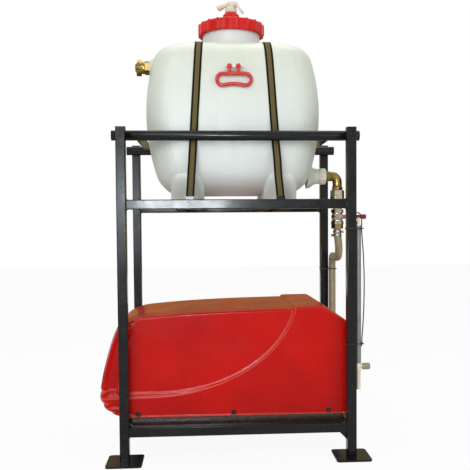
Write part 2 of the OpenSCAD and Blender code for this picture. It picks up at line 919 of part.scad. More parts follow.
// Brass elbow from the outlet down into the union
module outlet_elbow() {
    x0 = boss_x1 - 20;
    x1 = line_x - elbow_r;
    color([0.75, 0.6, 0.3])
        translate([0, outlet_y, 0]) {
            translate([x0, 0, outlet_z])
                rotate([0, 90, 0])
                    ring(pipe_r, pipe_bore, x1 - x0);
            translate([boss_x1 + outlet_nut_l, 0, outlet_z])
                rotate([0, 90, 0])
                    ring(pipe_r + 5, pipe_bore, 14);
            translate([x1, 0, outlet_z])
                bend_out_down(elbow_r, pipe_r, pipe_bore);
            translate([line_x, 0, union_z1])
                ring(pipe_r, pipe_bore, outlet_z - elbow_r - union_z1);
            translate([line_x, 0, union_z1 + gap])
                ring(pipe_r + 5, pipe_bore, 16);
        }
}

// Plated union: collar, hexagonal nut and the nipple into the valve
module union_fitting() {
    color([0.78, 0.78, 0.76])
        translate([line_x, outlet_y, 0]) {
            translate([0, 0, union_z0])
                hex_ring(33, pipe_bore, union_z1 - union_z0);
            translate([0, 0, valve_z1])
                ring(pipe_r, pipe_bore, union_z0 - valve_z1);
        }
}

// Ball valve body: two hexagonal ends round a ball chamber, with the stem's collar
module valve_body() {
    color([0.8, 0.8, 0.77])
        translate([line_x, outlet_y, valve_z])
            difference() {
                union() {
                    translate([0, 0, -valve_h / 2])
                        cylinder(r = 29, h = 16, $fn = 6);
                    translate([0, 0, valve_h / 2 - 16])
                        cylinder(r = 29, h = 16, $fn = 6);
                    translate([0, 0, -valve_h / 2 + 4])
                        cylinder(r = 24, h = valve_h - 8);
                    sphere(r = 27.5);
                    rotate([90, 0, 0])
                        cylinder(r = 13, h = stem_out - 3);
                }
                sphere(r = ball_r + gap);
                translate([0, 0, -valve_h / 2 - 1])
                    cylinder(r = pipe_bore, h = valve_h + 2);
                rotate([90, 0, 0])
                    cylinder(r = stem_r + fit, h = stem_out);
            }
}

// The bored ball, closed at rest, with the stem that the lever turns
module valve_ball() {
    color([0.85, 0.85, 0.86])
        translate([line_x, outlet_y, valve_z])
            difference() {
                union() {
                    sphere(r = ball_r);
                    rotate([90, 0, 0])
                        cylinder(r = stem_r, h = stem_out + 2);
                }
                rotate([0, 90, 0])
                    cylinder(r = pipe_bore - 2, h = 3 * ball_r, center = true);
            }
}

// Flat lever on the stem, square to the pipe when closed
module valve_lever() {
    wide = 13;
    color([0.72, 0.1, 0.08])
        translate([line_x, outlet_y - stem_out, valve_z])
            rotate([90, 0, 0]) {
                difference() {
                    union() {
                        cylinder(r = 15, h = lever_t);
                        linear_extrude(lever_t)
                            polygon([[0, -9], [lever_reach - 40, -9], [lever_reach - wide, -wide],
                                     [lever_reach - wide, wide], [lever_reach - 40, 9], [0, 9]]);
                        translate([lever_reach - wide, 0, 0])
                            cylinder(r = wide, h = lever_t);
                        translate([0, 0, lever_t])
                            cylinder(r = 11, h = 7, $fn = 6);
                    }
                    translate([0, 0, -1])
                        cylinder(r = stem_r + seat, h = 3);
                }
            }
}

// Brass hose tail screwed into the valve
module hose_tail() {
    tail = 40;
    color([0.72, 0.58, 0.28])
        translate([line_x, outlet_y, 0]) {
            translate([0, 0, valve_z0 - tail_hex])
                hex_ring(28, hose_bore / 2 - 3, tail_hex);
            translate([0, 0, valve_z0 - tail_hex - tail])
                ring(hose_bore / 2 - seat, hose_bore / 2 - 3, tail);
        }
}

// Worm-drive clamps on both ends of the suction hose
module hose_clamps() {
    band = 12;
    r = hose_r + seat;
    color([0.72, 0.7, 0.6])
        for (p = [[line_x, outlet_y, hose_z1 - 18, 0], [line_x, outlet_y, hose_z1 - 34, 150],
                  [drop_x, drop_y, hose_z0 + 8, 200]])
            translate([p[0], p[1], p[2]])
                rotate([0, 0, p[3]]) {
                    ring(r + 1.6, r, band);
                    translate([r + 1, -9, 0])
                        cube([9, 18, band]);
                }
}

// Suction hose: down from the valve, back under the tank and down to the hood
module suction_hose() {
    bore = hose_bore / 2;
    flat = plan_l - hose_bend - hose_sweep;
    color([0.62, 0.6, 0.5])
        translate([line_x, outlet_y, 0])
            rotate([0, 0, plan_a]) {
                translate([0, 0, hose_level_z + hose_bend])
                    ring(hose_r, bore, hose_z1 - hose_level_z - hose_bend);
                translate([0, 0, hose_level_z + hose_bend])
                    bend_down_out(hose_bend, hose_r, bore);
                translate([hose_bend, 0, hose_level_z])
                    rotate([0, 90, 0])
                        ring(hose_r, bore, flat);
                translate([hose_bend + flat, 0, hose_level_z])
                    bend_out_down(hose_sweep, hose_r, bore);
                translate([plan_l, 0, hose_z0])
                    ring(hose_r, bore, hose_level_z - hose_sweep - hose_z0);
            }
}

// Elbow that takes the suction hose through the hood's right wall
module hood_elbow() {
    bore = hose_bore / 2 - 3;
    reach = drop_x - hood_right;
    color([0.1, 0.1, 0.1])
        translate([drop_x, drop_y, elbow_z])
            difference() {
                union() {
                    sphere(r = 20);
                    cylinder(r = hose_bore / 2 - seat, h = hose_z0 - elbow_z + 50);
                    cylinder(r = hose_r, h = hose_z0 - elbow_z);
                    rotate([0, -90, 0])
                        cylinder(r = 16, h = reach + hood_wall + elbow_in);
                    translate([-reach + seat, 0, 0])
                        rotate([0, 90, 0])
                            cylinder(r = 19.8, h = 8, $fn = 6);
                }
                translate([0, 0, -bore])
                    cylinder(r = bore, h = 120);
                rotate([0, -90, 0])
                    cylinder(r = bore, h = reach + 60);
            }
}

// Frame of a tie round a box from p to q, with its lock at the left
module tie_loop(p, q, z) {
    difference() {
        translate([p[0] - tie_t, p[1] - tie_t, z])
            cube([q[0] - p[0] + 2 * tie_t, q[1] - p[1] + 2 * tie_t, tie_w]);
        translate([p[0], p[1], z - 1])
            cube([q[0] - p[0], q[1] - p[1], tie_w + 2]);
    }
    translate([p[0] - tie_t - 4, (p[1] + q[1]) / 2 - 4, z - 1])
        cube([4, 8, tie_w + 2]);
}

// Ties: two round the front right post, one round the rear right post and the hose
module cable_ties() {
    px = [post_x - tube_s / 2 - seat, cable_x + cable_r + seat];
    color([0.06, 0.06, 0.06]) {
        for (z = tie_zs)
            tie_loop([px[0], -post_y - tube_s / 2 - seat], [px[1], -post_y + tube_s / 2 + seat], z - tie_w / 2);
        tie_loop([px[0], drop_y - hose_r - seat], [drop_x + hose_r + seat, post_y + tube_s / 2 + seat], hose_tie_z);
    }
}

module dosing_hose() {
    color([0.72, 0.74, 0.7])
        translate([dose_x, dose_y, dose_z0])
            ring(dose_r, dose_r - 3, dose_z1 - dose_z0);
}

// Tapered strainer on the dosing hose's free end
module dosing_strainer() {
    color([0.8, 0.8, 0.76])
        translate([dose_x, dose_y, dose_z1]) {
            translate([0, 0, -25])
                cylinder(r = dose_r - 3 - seat, h = 25);
            cylinder(r = dose_r, h = 6);
            translate([0, 0, 6])
                cylinder(r1 = dose_r - 2, r2 = 4, h = 30);
        }
}

// Dosing tee: upright body, a branch to the knob and a pipe back into the hood
module dosing_tee() {
    color([0.9, 0.88, 0.78])
        difference() {
            union() {
                translate([dose_x, dose_y, 290])
                    cylinder(r = 8.5, h = dose_z0 - 290 - 10);
                translate([dose_x, dose_y, dose_z0 - 10])
                    cylinder(r = dose_r - 3 - seat, h = 35);
                translate([dose_x, dose_y, dose_z0 - 34])
                    cylinder(r = dose_r, h = 34);
                translate([dose_x, dose_y, tee_z])
                    rotate([0, 90, 0])
                        cylinder(r = 9, h = 17);
                translate([dose_x, dose_y, tee_z])
                    rotate([-90, 0, 0])
                        cylinder(r = 8, h = rear_y - dose_y);
                translate([dose_x, rear_y, tee_z])
                    sphere(r = 8);
                translate([hood_right + seat, rear_y, tee_z])
                    rotate([0, 90, 0])
                        cylinder(r = 8, h = dose_x - hood_right - seat);
                translate([hood_right + seat, rear_y, tee_z])
                    rotate([0, 90, 0])
                        cylinder(r = 14, h = 8, $fn = 6);
            }
            translate([dose_x, dose_y, tee_z])
                rotate([0, 90, 0])
                    cylinder(r = 5 + fit, h = 20);
        }
}

module dosing_knob() {
    flutes = 8;
    color([0.66, 0.6, 0.45])
        translate([dose_x + 17 + gap, dose_y, tee_z])
            rotate([0, 90, 0]) {
                translate([0, 0, -14])
                    cylinder(r = 5, h = 15);
                difference() {
                    cylinder(r = 14, h = 30);
                    for (i = [0 : flutes - 1])
                        rotate([0, 0, i * 360 / flutes])
                            translate([16.5, 0, 6])
                                cylinder(r = 4, h = 26);
                }
                translate([0, 0, 30])
                    cylinder(r1 = 12, r2 = 9, h = 2);
            }
}

// Thin cable from the hood's wall up the post and into its tube: its run to the post as
// shares of the way, its stretches along the hose as a bow outwards, and its end in the tube
cable_y = -(hood_d / 2 - 44);
cable_run = [[0, 0, 452], [0.25, 0, 452], [0.54, 0.05, 453], [0.8, 0.24, 456], [0.98, 0.55, 462],
             [1.02, 0.82, 471]];
cable_bow = [[0, 487], [2, 520], [7, 590], [10, 665], [11, 731], [10, 800], [7, 870], [2, 940],
             [0, 975], [0, 1000], [0, 1020], [-5, 1034], [-15, 1041]];
cable_points = concat(
    [for (p = cable_run) [hood_right + p[0] * (cable_x - hood_right), cable_y + p[1] * (dose_y - cable_y), p[2]]],
    [for (p = cable_bow) [cable_x + p[0], dose_y, p[1]]],
    [[frame_w / 2 + seat, dose_y, 1042]]);

// Round tube swept along a route, as rings of n corners; a ring tube joins its last ring to its first
module swept(route, r, n, ring_tube = false) {
    m = len(route);
    last = ring_tube ? m - 1 : m - 2;
    dir = [for (i = [0 : m - 1])
        let (a = ring_tube ? (i + m - 1) % m : max(0, i - 1), b = ring_tube ? (i + 1) % m : min(m - 1, i + 1),
             d = route[b] - route[a])
        d / norm(d)];
    side = [for (d = dir) let (s = cross(d, abs(d[1]) < 0.8 ? [0, 1, 0] : [1, 0, 0])) s / norm(s)];
    points = [for (i = [0 : m - 1], k = [0 : n - 1])
        let (a = 360 * k / n, u = side[i], v = cross(dir[i], side[i]))
        route[i] + r * (cos(a) * u + sin(a) * v)];
    caps = ring_tube ? [] : [[for (k = [0 : n - 1]) k], [for (k = [n - 1 : -1 : 0]) n * (m - 1) + k]];
    faces = concat(caps, [for (i = [0 : last], k = [0 : n - 1])
        let (a = n * i + k, b = n * i + (k + 1) % n, c = n * ((i + 1) % m) + k, d = n * ((i + 1) % m) + (k + 1) % n)
        each [[a, d, b], [a, c, d]]]);
    polyhedron(points, faces);
}

module level_cable() {
    color([0.15, 0.15, 0.16])
        swept(cable_points, cable_r, 8);
}

// Places along the hood's length and height, given as shares
function hood_x(u) = u * (hood_left + hood_right) - hood_left;
function hood_z(v) = hood_z0 + v * (hood_z1 - hood_z0);

// Outline of the hood in XZ, drawn in by n at the nose and t at the top
// with the left part of its top raised by a crown
function hood_outline(n, t, right, top, wide, crown) = [
    [hood_x(0.0888) + n, hood_z0], [hood_x(0.042) + n, hood_z(0.03)], [hood_x(0.0112) + n, hood_z(0.09)],
    [hood_x(0) + n, hood_z(0.175)], [hood_x(0) + n + wide, hood_z(0.32)],
    [hood_x(0.015) + n + wide, hood_z(0.47)], [hood_x(0.0374) + n + wide, hood_z(0.652)],
    [hood_x(0.0617) + n + wide, hood_z(0.79)], [hood_x(0.0888) + n + wide, hood_z(0.865) - t],
    [hood_x(0.1495), hood_z(0.908) - t], [hood_x(0.2523), hood_z(0.934) - t],
    [hood_x(0.4112), hood_z(0.957) + crown - t], [hood_x(0.6355), hood_z(0.974) + crown - t],
    [hood_x(0.9112) - t, top - t], [right, top + hood_z0 - hood_z(0.139) - 0.7 * t], [right, hood_z0]];

// Moulded block of the hood, rounded towards its front and rear faces
module hood_form(half, right, top, wide, crown, low) {
    // Each step: distance inside the face, inset at the nose and inset at the top
    steps = hood_round * [[0, 1, 0.29], [0.125, 0.667, 0.125], [0.417, 0.354, 0.0625],
                          [1.04, 0.104, 0.02], [2.7, 0, 0]];
    hull()
        for (s = steps, sy = [-1, 1])
            translate([0, sy * (half - s[0]), low])
                rotate([90, 0, 0])
                    linear_extrude(eps)
                        polygon(hood_outline(s[1], s[2], right, top, wide, crown));
}

// Region of the styled face that is set back: above an elliptical line
module swoosh_area() {
    cx = hood_x(0.2336);
    cz = hood_z(1.1175);
    ax = hood_x(0.5607) - hood_x(0);
    az = hood_z(0.8974) - hood_z0;
    polygon(concat([[-hood_left - 60, cz - az]],
                   [for (a = [-90 : 5 : 0]) [cx + ax * cos(a), cz + az * sin(a)]],
                   [[cx + ax, cz + 200], [-hood_left - 60, cz + 200]]));
}

module hood() {
    half = hood_d / 2;
    color([0.78, 0.04, 0.0])
        difference() {
            union() {
                hood_form(half - hood_step, hood_right, hood_z1 - hood_step, 8, 0, 0);
                difference() {
                    hood_form(half, hood_right, hood_z1, 0, hood_step + 1, 0);
                    translate([0, half + 10, 0])
                        rotate([90, 0, 0])
                            linear_extrude(hood_d + 20)
                                swoosh_area();
                }
            }
            intersection() {
                hood_form(half - hood_step - hood_wall, hood_right - hood_wall,
                          hood_z1 - hood_step - hood_wall, 14, 0, -6);
                translate([-hood_left + 12, -half, 0])
                    cube([2 * hood_left, hood_d, hood_z1]);
            }
            translate([-in_x, -half + hood_wall, hood_z0 - 5])
                cube([in_x + hood_right - hood_wall, hood_d - 2 * hood_wall, 80]);
            translate([hood_right - 20, drop_y, elbow_z])
                rotate([0, 90, 0])
                    cylinder(r = 16 + gap, h = 40);
            for (x = screw_xs)
                translate([x, -half - 1, screw_z])
                    rotate([-90, 0, 0])
                        cylinder(r = 4.3, h = hood_d + 2);
        }
}

screw_xs = [-0.427, -0.02, 0.39] * frame_w;
screw_z = hood_z0 + 14;

// Round-headed screws along both long sides of the hood
module hood_screws() {
    color([0.08, 0.08, 0.08])
        for (x = screw_xs, sy = [-1, 1])
            translate([x, sy * (hood_d / 2 + gap), screw_z])
                rotate([-sy * 90, 0, 0]) {
                    translate([0, 0, -12])
                        cylinder(r = 4, h = 12 + eps);
                    cylinder(r1 = 11, r2 = 8, h = 6);
                }
}

// Black base pan: floor, walls inside the hood and the rim that the hood stands on
module base_pan() {
    color([0.08, 0.07, 0.07])
        difference() {
            union() {
                translate([-pan_x, -pan_y, pan_z0])
                    cube([2 * pan_x, 2 * pan_y, pan_z1 - pan_z0]);
                translate([-pan_x, -hood_d / 2, hood_z0 - rim_h])
                    cube([2 * pan_x, hood_d, rim_h]);
            }
            translate([-pan_x + pan_wall, -pan_y + pan_wall, pan_z0 + pan_wall])
                cube([2 * (pan_x - pan_wall), 2 * (pan_y - pan_wall), pan_z1 - pan_z0]);
            for (x = screw_xs)
                translate([x, -hood_d / 2 - 1, screw_z])
                    rotate([-90, 0, 0])
                        cylinder(r = 4 + fit, h = hood_d + 2);
        }
}

module pan_pads() {
    color([0.1, 0.1, 0.1])
        for (sx = [-1, 1], sy = [-1, 1])
            translate([sx * unit_x, sy * unit_y, pan_z0 - pad_h])
                cylinder(r = 24, h = pad_h);
}

// Foot-mounted electric motor with a finned barrel and a fan cowl
module motor() {
    floor_z = pan_z0 + pan_wall;
    color([0.35, 0.4, 0.45])
        translate([motor_x0, 0, drive_z])
            difference() {
                union() {
                    rotate([0, 90, 0])
                        cylinder(r = motor_r, h = motor_l);
                    rotate([0, 90, 0])
                        cylinder(r = motor_r + 18, h = 16);
                    translate([motor_l, 0, 0])
                        rotate([0, 90, 0])
                            cylinder(r = motor_r + 8, h = 60);
                    for (i = [0 : motor_fins - 1])
                        rotate([i * 360 / motor_fins, 0, 0])
                            translate([22, -1.5, motor_r - 4])
                                cube([motor_l - 28, 3, 18]);
                    translate([60, -55, motor_r - 6])
                        cube([110, 110, 60]);
                    for (sy = [-1, 1]) {
                        translate([40, sy * 95 - 25, floor_z - drive_z])
                            cube([180, 50, 14]);
                        translate([50, sy * 72 - 8, floor_z - drive_z])
                            cube([160, 16, drive_z - floor_z - 40]);
                    }
                }
                translate([-1, 0, 0])
                    rotate([0, 90, 0])
                        cylinder(r = shaft_r + fit, h = 61);
            }
}

// Drive shaft with its jaw coupling between motor and pump
module drive_shaft() {
    mid = (motor_x0 + pump_x1) / 2;
    color([0.7, 0.7, 0.72])
        translate([0, 0, drive_z]) {
            translate([pump_x1 - 50, 0, 0])
                rotate([0, 90, 0])
                    cylinder(r = shaft_r, h = motor_x0 - pump_x1 + 100);
            for (s = [[-42, 34], [8, 34]])
                translate([mid + s[0], 0, 0])
                    rotate([0, 90, 0])
                        cylinder(r = 40, h = s[1]);
            translate([mid - 9, 0, 0])
                rotate([0, 90, 0])
                    cylinder(r = 34, h = 18);
        }
}

// Radial diaphragm pump: crankcase, three heads with their covers, feet and air vessel
module pump() {
    floor_z = pan_z0 + pan_wall;
    width = 150;
    color([0.45, 0.45, 0.46])
        translate([pump_x1 - width, 0, drive_z])
            difference() {
                union() {
                    rotate([0, 90, 0])
                        cylinder(r = 72, h = width);
                    translate([width - 12, 0, 0])
                        rotate([0, 90, 0])
                            cylinder(r = 50, h = 24);
                    for (i = [0 : 2])
                        rotate([i * 120, 0, 0])
                            translate([width / 2, 0, 60]) {
                                cylinder(r = 58, h = 34);
                                translate([0, 0, 38])
                                    cylinder(r1 = 66, r2 = 52, h = 26);
                                translate([0, 0, 30])
                                    cylinder(r = 66, h = 10);
                            }
                    for (sy = [-1, 1])
                        translate([15, sy * 118 - 12, floor_z - drive_z])
                            cube([width - 30, 24, drive_z - floor_z - 30]);
                    translate([15, -130, floor_z - drive_z])
                        cube([width - 30, 260, 12]);
                    translate([-34, 0, 0])
                        rotate([0, 90, 0])
                            cylinder(r = 44, h = 40);
                    translate([-58, 0, 0])
                        sphere(r = 52);
                    translate([width / 2, 60, elbow_z - drive_z])
                        rotate([-90, 0, 0])
                            cylinder(r = 14, h = port_y - 60);
                }
                translate([width - 50 - seat, 0, 0])
                    rotate([0, 90, 0])
                        cylinder(r = shaft_r + fit, h = 70);
            }
}

// Suction filter: head on the elbow's spigot, clear bowl and the pipe to the pump
module suction_filter() {
    pipe_end = pump_x1 - 75;
    color([0.3, 0.3, 0.32])
        difference() {
            union() {
                translate([filter_x, filter_y, elbow_z - 24])
                    cylinder(r = filter_r, h = 50);
                translate([filter_x, filter_y, pan_z0 + pan_wall + 20])
                    cylinder(r1 = filter_r - 8, r2 = filter_r - 4, h = elbow_z - 24 - pan_z0 - pan_wall - 20);
                translate([filter_x, filter_y, pan_z0 + pan_wall])
                    cylinder(r = 14, h = 22);
                translate([filter_x + 20, drop_y, elbow_z])
                    rotate([0, 90, 0])
                        cylinder(r = 15.8, h = hood_right - hood_wall - elbow_in - filter_x - 20 - seat);
                translate([pipe_end, drop_y - 62, elbow_z])
                    rotate([0, 90, 0])
                        cylinder(r = 16, h = filter_x - pipe_end - 20);
                translate([pipe_end, drop_y - 62, elbow_z])
                    sphere(r = 16);
                translate([pipe_end, port_y + seat, elbow_z])
                    rotate([-90, 0, 0])
                        cylinder(r = 16, h = drop_y - 62 - port_y - seat);
            }
            translate([filter_x, filter_y, elbow_z - 10])
                cylinder(r = filter_r - 10, h = 26);
        }
}

// Pressure regulator on the pump, with the gauge port's plug
module pressure_regulator() {
    top_z = drive_z + 124;
    color([0.7, 0.58, 0.3])
        translate([pump_x1 - 75, 0, top_z])
            difference() {
                union() {
                    cylinder(r = 24, h = 30);
                    translate([-24, -24, 8])
                        cube([48, 48, 44]);
                    translate([0, 24, 30])
                        rotate([-90, 0, 0])
                            cylinder(r = 9, h = 14, $fn = 6);
                    translate([0, -50, 30])
                        rotate([-90, 0, 0])
                            cylinder(r = 13, h = 30);
                }
                translate([0, 0, 30])
                    cylinder(r = 8 + fit, h = 40);
            }
}

module regulator_knob() {
    top_z = drive_z + 124;
    color([0.1, 0.1, 0.1])
        translate([pump_x1 - 75, 0, top_z]) {
            translate([0, 0, 34])
                cylinder(r = 8, h = 20);
            translate([0, 0, 52 + gap])
                difference() {
                    cylinder(r = 24, h = 26);
                    for (i = [0 : 9])
                        rotate([0, 0, i * 36])
                            translate([26, 0, 4])
                                cylinder(r = 4, h = 30);
                }
        }
}

post_front_left();
post_front_right();
post_rear_left();
post_rear_right();
foot_plates();
tube_caps();
top_tube_front();
top_tube_rear();
mid_rail_front();
mid_rail_rear();
tank_bearers();
low_rail_front();
low_rail_rear();
low_rails_side();
unit_bearers();
gussets();
side_stops();
strap_lugs();
tank();
strainer_basket();
tank_lid();
lid_gasket();
vent_gasket();
vent_tap_body();
vent_tap_lever();
handle_bracket();
pull_handle();
strap_left();
strap_right();
strap_buckles();
strap_bolts();
inlet_bulkhead();
inlet_coupling();
inlet_seal();
outlet_nut();
outlet_elbow();
union_fitting();
valve_body();
valve_ball();
valve_lever();
hose_tail();
hose_clamps();
suction_hose();
hood_elbow();
cable_ties();
dosing_hose();
dosing_strainer();
dosing_tee();
dosing_knob();
level_cable();
hood();
base_pan();
pan_pads();
hood_screws();
motor();
drive_shaft();
pump();
suction_filter();
pressure_regulator();
regulator_knob();
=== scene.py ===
"""Looks of the orchard sprayer stand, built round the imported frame.

Lengths in the tables below are millimetres, as in the part's source, and every mesh is
written in metres. X runs along the width, Y into the depth and Z up from the floor.
"""

import json
from math import asin, atan2, copysign, cos, dist, exp, hypot, pi, radians, sin, sqrt

import bpy
from mathutils import Matrix, Vector, noise


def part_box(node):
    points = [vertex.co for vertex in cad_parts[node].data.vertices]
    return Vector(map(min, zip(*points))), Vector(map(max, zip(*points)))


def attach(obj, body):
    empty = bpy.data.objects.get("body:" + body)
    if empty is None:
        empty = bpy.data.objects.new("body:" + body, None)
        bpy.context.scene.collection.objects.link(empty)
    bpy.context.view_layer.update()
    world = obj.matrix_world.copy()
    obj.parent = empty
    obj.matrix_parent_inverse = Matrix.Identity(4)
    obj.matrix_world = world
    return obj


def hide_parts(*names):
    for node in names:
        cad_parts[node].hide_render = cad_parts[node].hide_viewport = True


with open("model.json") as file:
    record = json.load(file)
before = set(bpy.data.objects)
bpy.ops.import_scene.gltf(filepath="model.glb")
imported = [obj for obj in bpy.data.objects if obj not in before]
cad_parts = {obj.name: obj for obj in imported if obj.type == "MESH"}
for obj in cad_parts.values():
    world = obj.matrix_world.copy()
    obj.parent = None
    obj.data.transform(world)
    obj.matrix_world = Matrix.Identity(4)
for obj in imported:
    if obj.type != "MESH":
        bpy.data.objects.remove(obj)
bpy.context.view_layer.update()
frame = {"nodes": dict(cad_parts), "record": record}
CAD = frame["nodes"]
SLOT_OF = {row["node"]: row["material_slot"] for row in frame["record"]["subparts"]}
scene = bpy.context.scene
MM = 0.001
WELD_GAP = 0.00002
QUARTERS = ((-1, -1), (-1, 1), (1, -1), (1, 1))
WHITE = (1.0, 1.0, 1.0, 1.0)


def place_object(name, data):
    obj = bpy.data.objects.new(name, data)
    scene.collection.objects.link(obj)
    return obj


def box_mm(name):
    """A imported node's corners in millimetres."""
    return [[c / MM for c in corner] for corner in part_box(name)]


# ---- camera

def make_camera():
    """The photograph's view: a 52 mm lens a little left of the middle, at mid height."""
    yaw, pitch, roll = 0.0603711, 0.0404561, 0.00731917
    place = Vector((-0.13993, -3.18656, 0.98236))
    ahead = Vector((sin(yaw) * cos(pitch), cos(yaw) * cos(pitch), -sin(pitch)))
    right = Vector((cos(yaw), -sin(yaw), 0))
    down = ahead.cross(right)
    across = right * cos(roll) + down * sin(roll)
    below = down * cos(roll) - right * sin(roll)
    data = bpy.data.cameras.new("camera")
    data.sensor_width = 36.0
    data.lens = 52.325
    data.shift_x = -0.0226
    data.shift_y = 0.0428
    data.clip_start, data.clip_end = 0.05, 60.0
    camera = place_object("camera", data)
    turn = Matrix((across, -below, -ahead)).transposed().to_4x4()
    camera.matrix_world = Matrix.Translation(place) @ turn
    scene.camera = camera


make_camera()


# ---- materials

def linear(colour):
    """An 8-bit sRGB colour as linear RGBA."""
    def one(value):
        value /= 255.0
        return value / 12.92 if value <= 0.04045 else ((value + 0.055) / 1.055) ** 2.4
    return (*[one(v) for v in colour], 1.0)


def shade(colour, factor, lift=0.0):
    """An 8-bit sRGB colour made darker or lighter, as linear RGBA."""
    return (*[min(1.0, v * factor + lift) for v in linear(colour)[:3]], 1.0)


MATERIALS = {}


class Tree:
    """A node tree, and short ways to grow it."""

    def __init__(self, tree):
        self.nodes, self.links = tree.nodes, tree.links

    def link(self, output, target):
        self.links.new(output, target)

    def node(self, kind, **values):
        """A node. Words that start with a capital set its inputs, the others its settings."""
        made = self.nodes.new("ShaderNode" + kind)
        for key, value in values.items():
            if key[0].isupper():
                made.inputs[key.replace("_", " ")].default_value = value
            else:
                setattr(made, key, value)
        return made

    def ramp(self, value, low=0.0, high=1.0, a=0.0, b=1.0):
        """value between low and high, as a number from a to b."""
        made = self.node("MapRange", clamp=True, From_Min=low, From_Max=high, To_Min=a, To_Max=b)
        self.link(value, made.inputs["Value"])
        return made.outputs["Result"]

    def math(self, how, a, b, **settings):
        made = self.node("Math", operation=how, **settings)
        for socket, value in zip(made.inputs, (a, b)):
            if isinstance(value, (int, float)):
                socket.default_value = value
            else:
                self.link(value, socket)
        return made.outputs["Value"]

    def seen_straight(self):
        """1 where the camera, a reflection or a transmission looks, 0 for the light that is shed."""
        path = self.node("LightPath").outputs
        seen = path["Is Camera Ray"]
        for other in ("Is Glossy Ray", "Is Transmission Ray"):
            seen = self.math("ADD", seen, path[other], use_clamp=True)
        return seen


class Shader(Tree):
    """A Principled material, kept in MATERIALS, with a surface built up layer by layer."""

    def __init__(self, name, rough=0.4, metal=0.0, gloss=0.5, **fixed):
        MATERIALS[name] = material = bpy.data.materials.new(name)
        material.use_nodes = True
        super().__init__(material.node_tree)
        self.out = self.nodes["Principled BSDF"]
        fixed.update({"Roughness": rough, "Metallic": metal, "Specular_IOR_Level": gloss})
        for key, value in fixed.items():
            self.out.inputs[key.replace("_", " ")].default_value = value
        self.place = self.node("TexCoord").outputs["Object"]
        self.height = None

    def mapped(self, scale, source=None):
        """The place, stretched by a scale of three numbers."""
        made = self.node("Mapping", Scale=scale)
        self.link(source or self.place, made.inputs["Vector"])
        return made.outputs["Vector"]

    def noise(self, scale, detail=3.0, rough=0.55, source=None, stretch=None):
        made = self.node("TexNoise", Scale=scale, Detail=detail, Roughness=rough)
        vector = self.mapped(stretch, source) if stretch else (source or self.place)
        self.link(vector, made.inputs["Vector"])
        return made.outputs["Fac"]

    def patches(self, scale, detail, low, high, rough=0.55, **how):
        """Noise, cut to what lies between low and high."""
        return self.ramp(self.noise(scale, detail, rough, **how), low, high)

    def mix(self, factor, a, b, how="MIX"):
        """Colour a turning into colour b; each is 8-bit sRGB, linear RGBA or an output."""
        made = self.node("Mix", data_type="RGBA", blend_type=how)
        for socket, value in ((made.inputs["Factor"], factor), (made.inputs[6], a), (made.inputs[7], b)):
            if isinstance(value, tuple) and len(value) == 3:
                value = linear(value)
            if isinstance(value, (tuple, float)):
                socket.default_value = value
            else:
                self.link(value, socket)
        return made.outputs[2]

    def colour(self, output):
        self.link(output, self.out.inputs["Base Color"])

    def rough(self, scale, detail, low, high):
        self.link(self.ramp(self.noise(scale, detail), 0.3, 0.7, low, high), self.out.inputs["Roughness"])

    def stain(self, under, where, share, colour):
        """Lays a colour over another where the output says, by a share."""
        return self.mix(self.math("MULTIPLY", where, share), under, colour)

    def grain(self, scale, detail, strength, depth, **how):
        self.bump(self.noise(scale, detail, **how), strength, depth)

    def bump(self, value, strength, depth):
        made = self.node("Bump", Strength=strength, Distance=depth)
        self.link(value, made.inputs["Height"])
        if self.height:
            self.link(self.height, made.inputs["Normal"])
        self.height = made.outputs["Normal"]
        self.link(self.height, self.out.inputs["Normal"])

    def split(self, source=None):
        made = self.node("SeparateXYZ")
        self.link(source or self.place, made.inputs[0])
        return made.outputs

    def edges(self, low=0.52, high=0.62):
        """Where the surface turns outwards at an edge."""
        return self.ramp(self.node("NewGeometry").outputs["Pointiness"], low, high)


def plastic(name, colour, rough=0.38, spread=0.12, grain=900.0, grain_depth=0.0002, gloss=0.3, **fixed):
    """Moulded plastic: slow colour drift, fine grain and rubbed edges."""
    s = Shader(name, rough=rough, gloss=gloss, **fixed)
    dark = shade(colour, 1 - spread)
    light = shade(colour, 1 + spread, 0.004)
    drift = s.mix(s.patches(9.0, 4.0, 0.35, 0.65), dark, light)
    edge_mark = s.math("MULTIPLY", s.edges(), s.patches(60.0, 5.0, 0.45, 0.7))
    pale = shade(colour, 1.3, 0.03)
    s.colour(s.stain(drift, edge_mark, 0.6, pale))
    s.rough(35.0, 4.0, rough * 0.85, min(1.0, rough * 1.2))
    s.grain(grain, 2.0, 0.25, grain_depth)


def metal(name, colour, rough=0.28, stain=0.25, **fixed):
    """Plated or bare metal with stains, fine scratches and brighter edges."""
    s = Shader(name, rough=rough, metal=1.0, **fixed)
    dull = shade(colour, 1 - stain)
    drift = s.mix(s.patches(40.0, 6.0, 0.38, 0.66, 0.65), linear(colour), dull)
    spots = s.patches(170.0, 5.0, 0.6, 0.72, 0.7)
    dark = shade(colour, 0.45)
    drift = s.stain(drift, spots, 0.55, dark)
    pale = shade(colour, 1.25, 0.02)
    s.colour(s.stain(drift, s.edges(), 0.7, pale))
    s.rough(90.0, 5.0, rough * 0.7, rough * 1.5)
    s.grain(500.0, 4.0, 0.2, 0.0003, stretch=(1.0, 1.0, 0.15))
    s.grain(45.0, 3.0, 0.15, 0.0006)


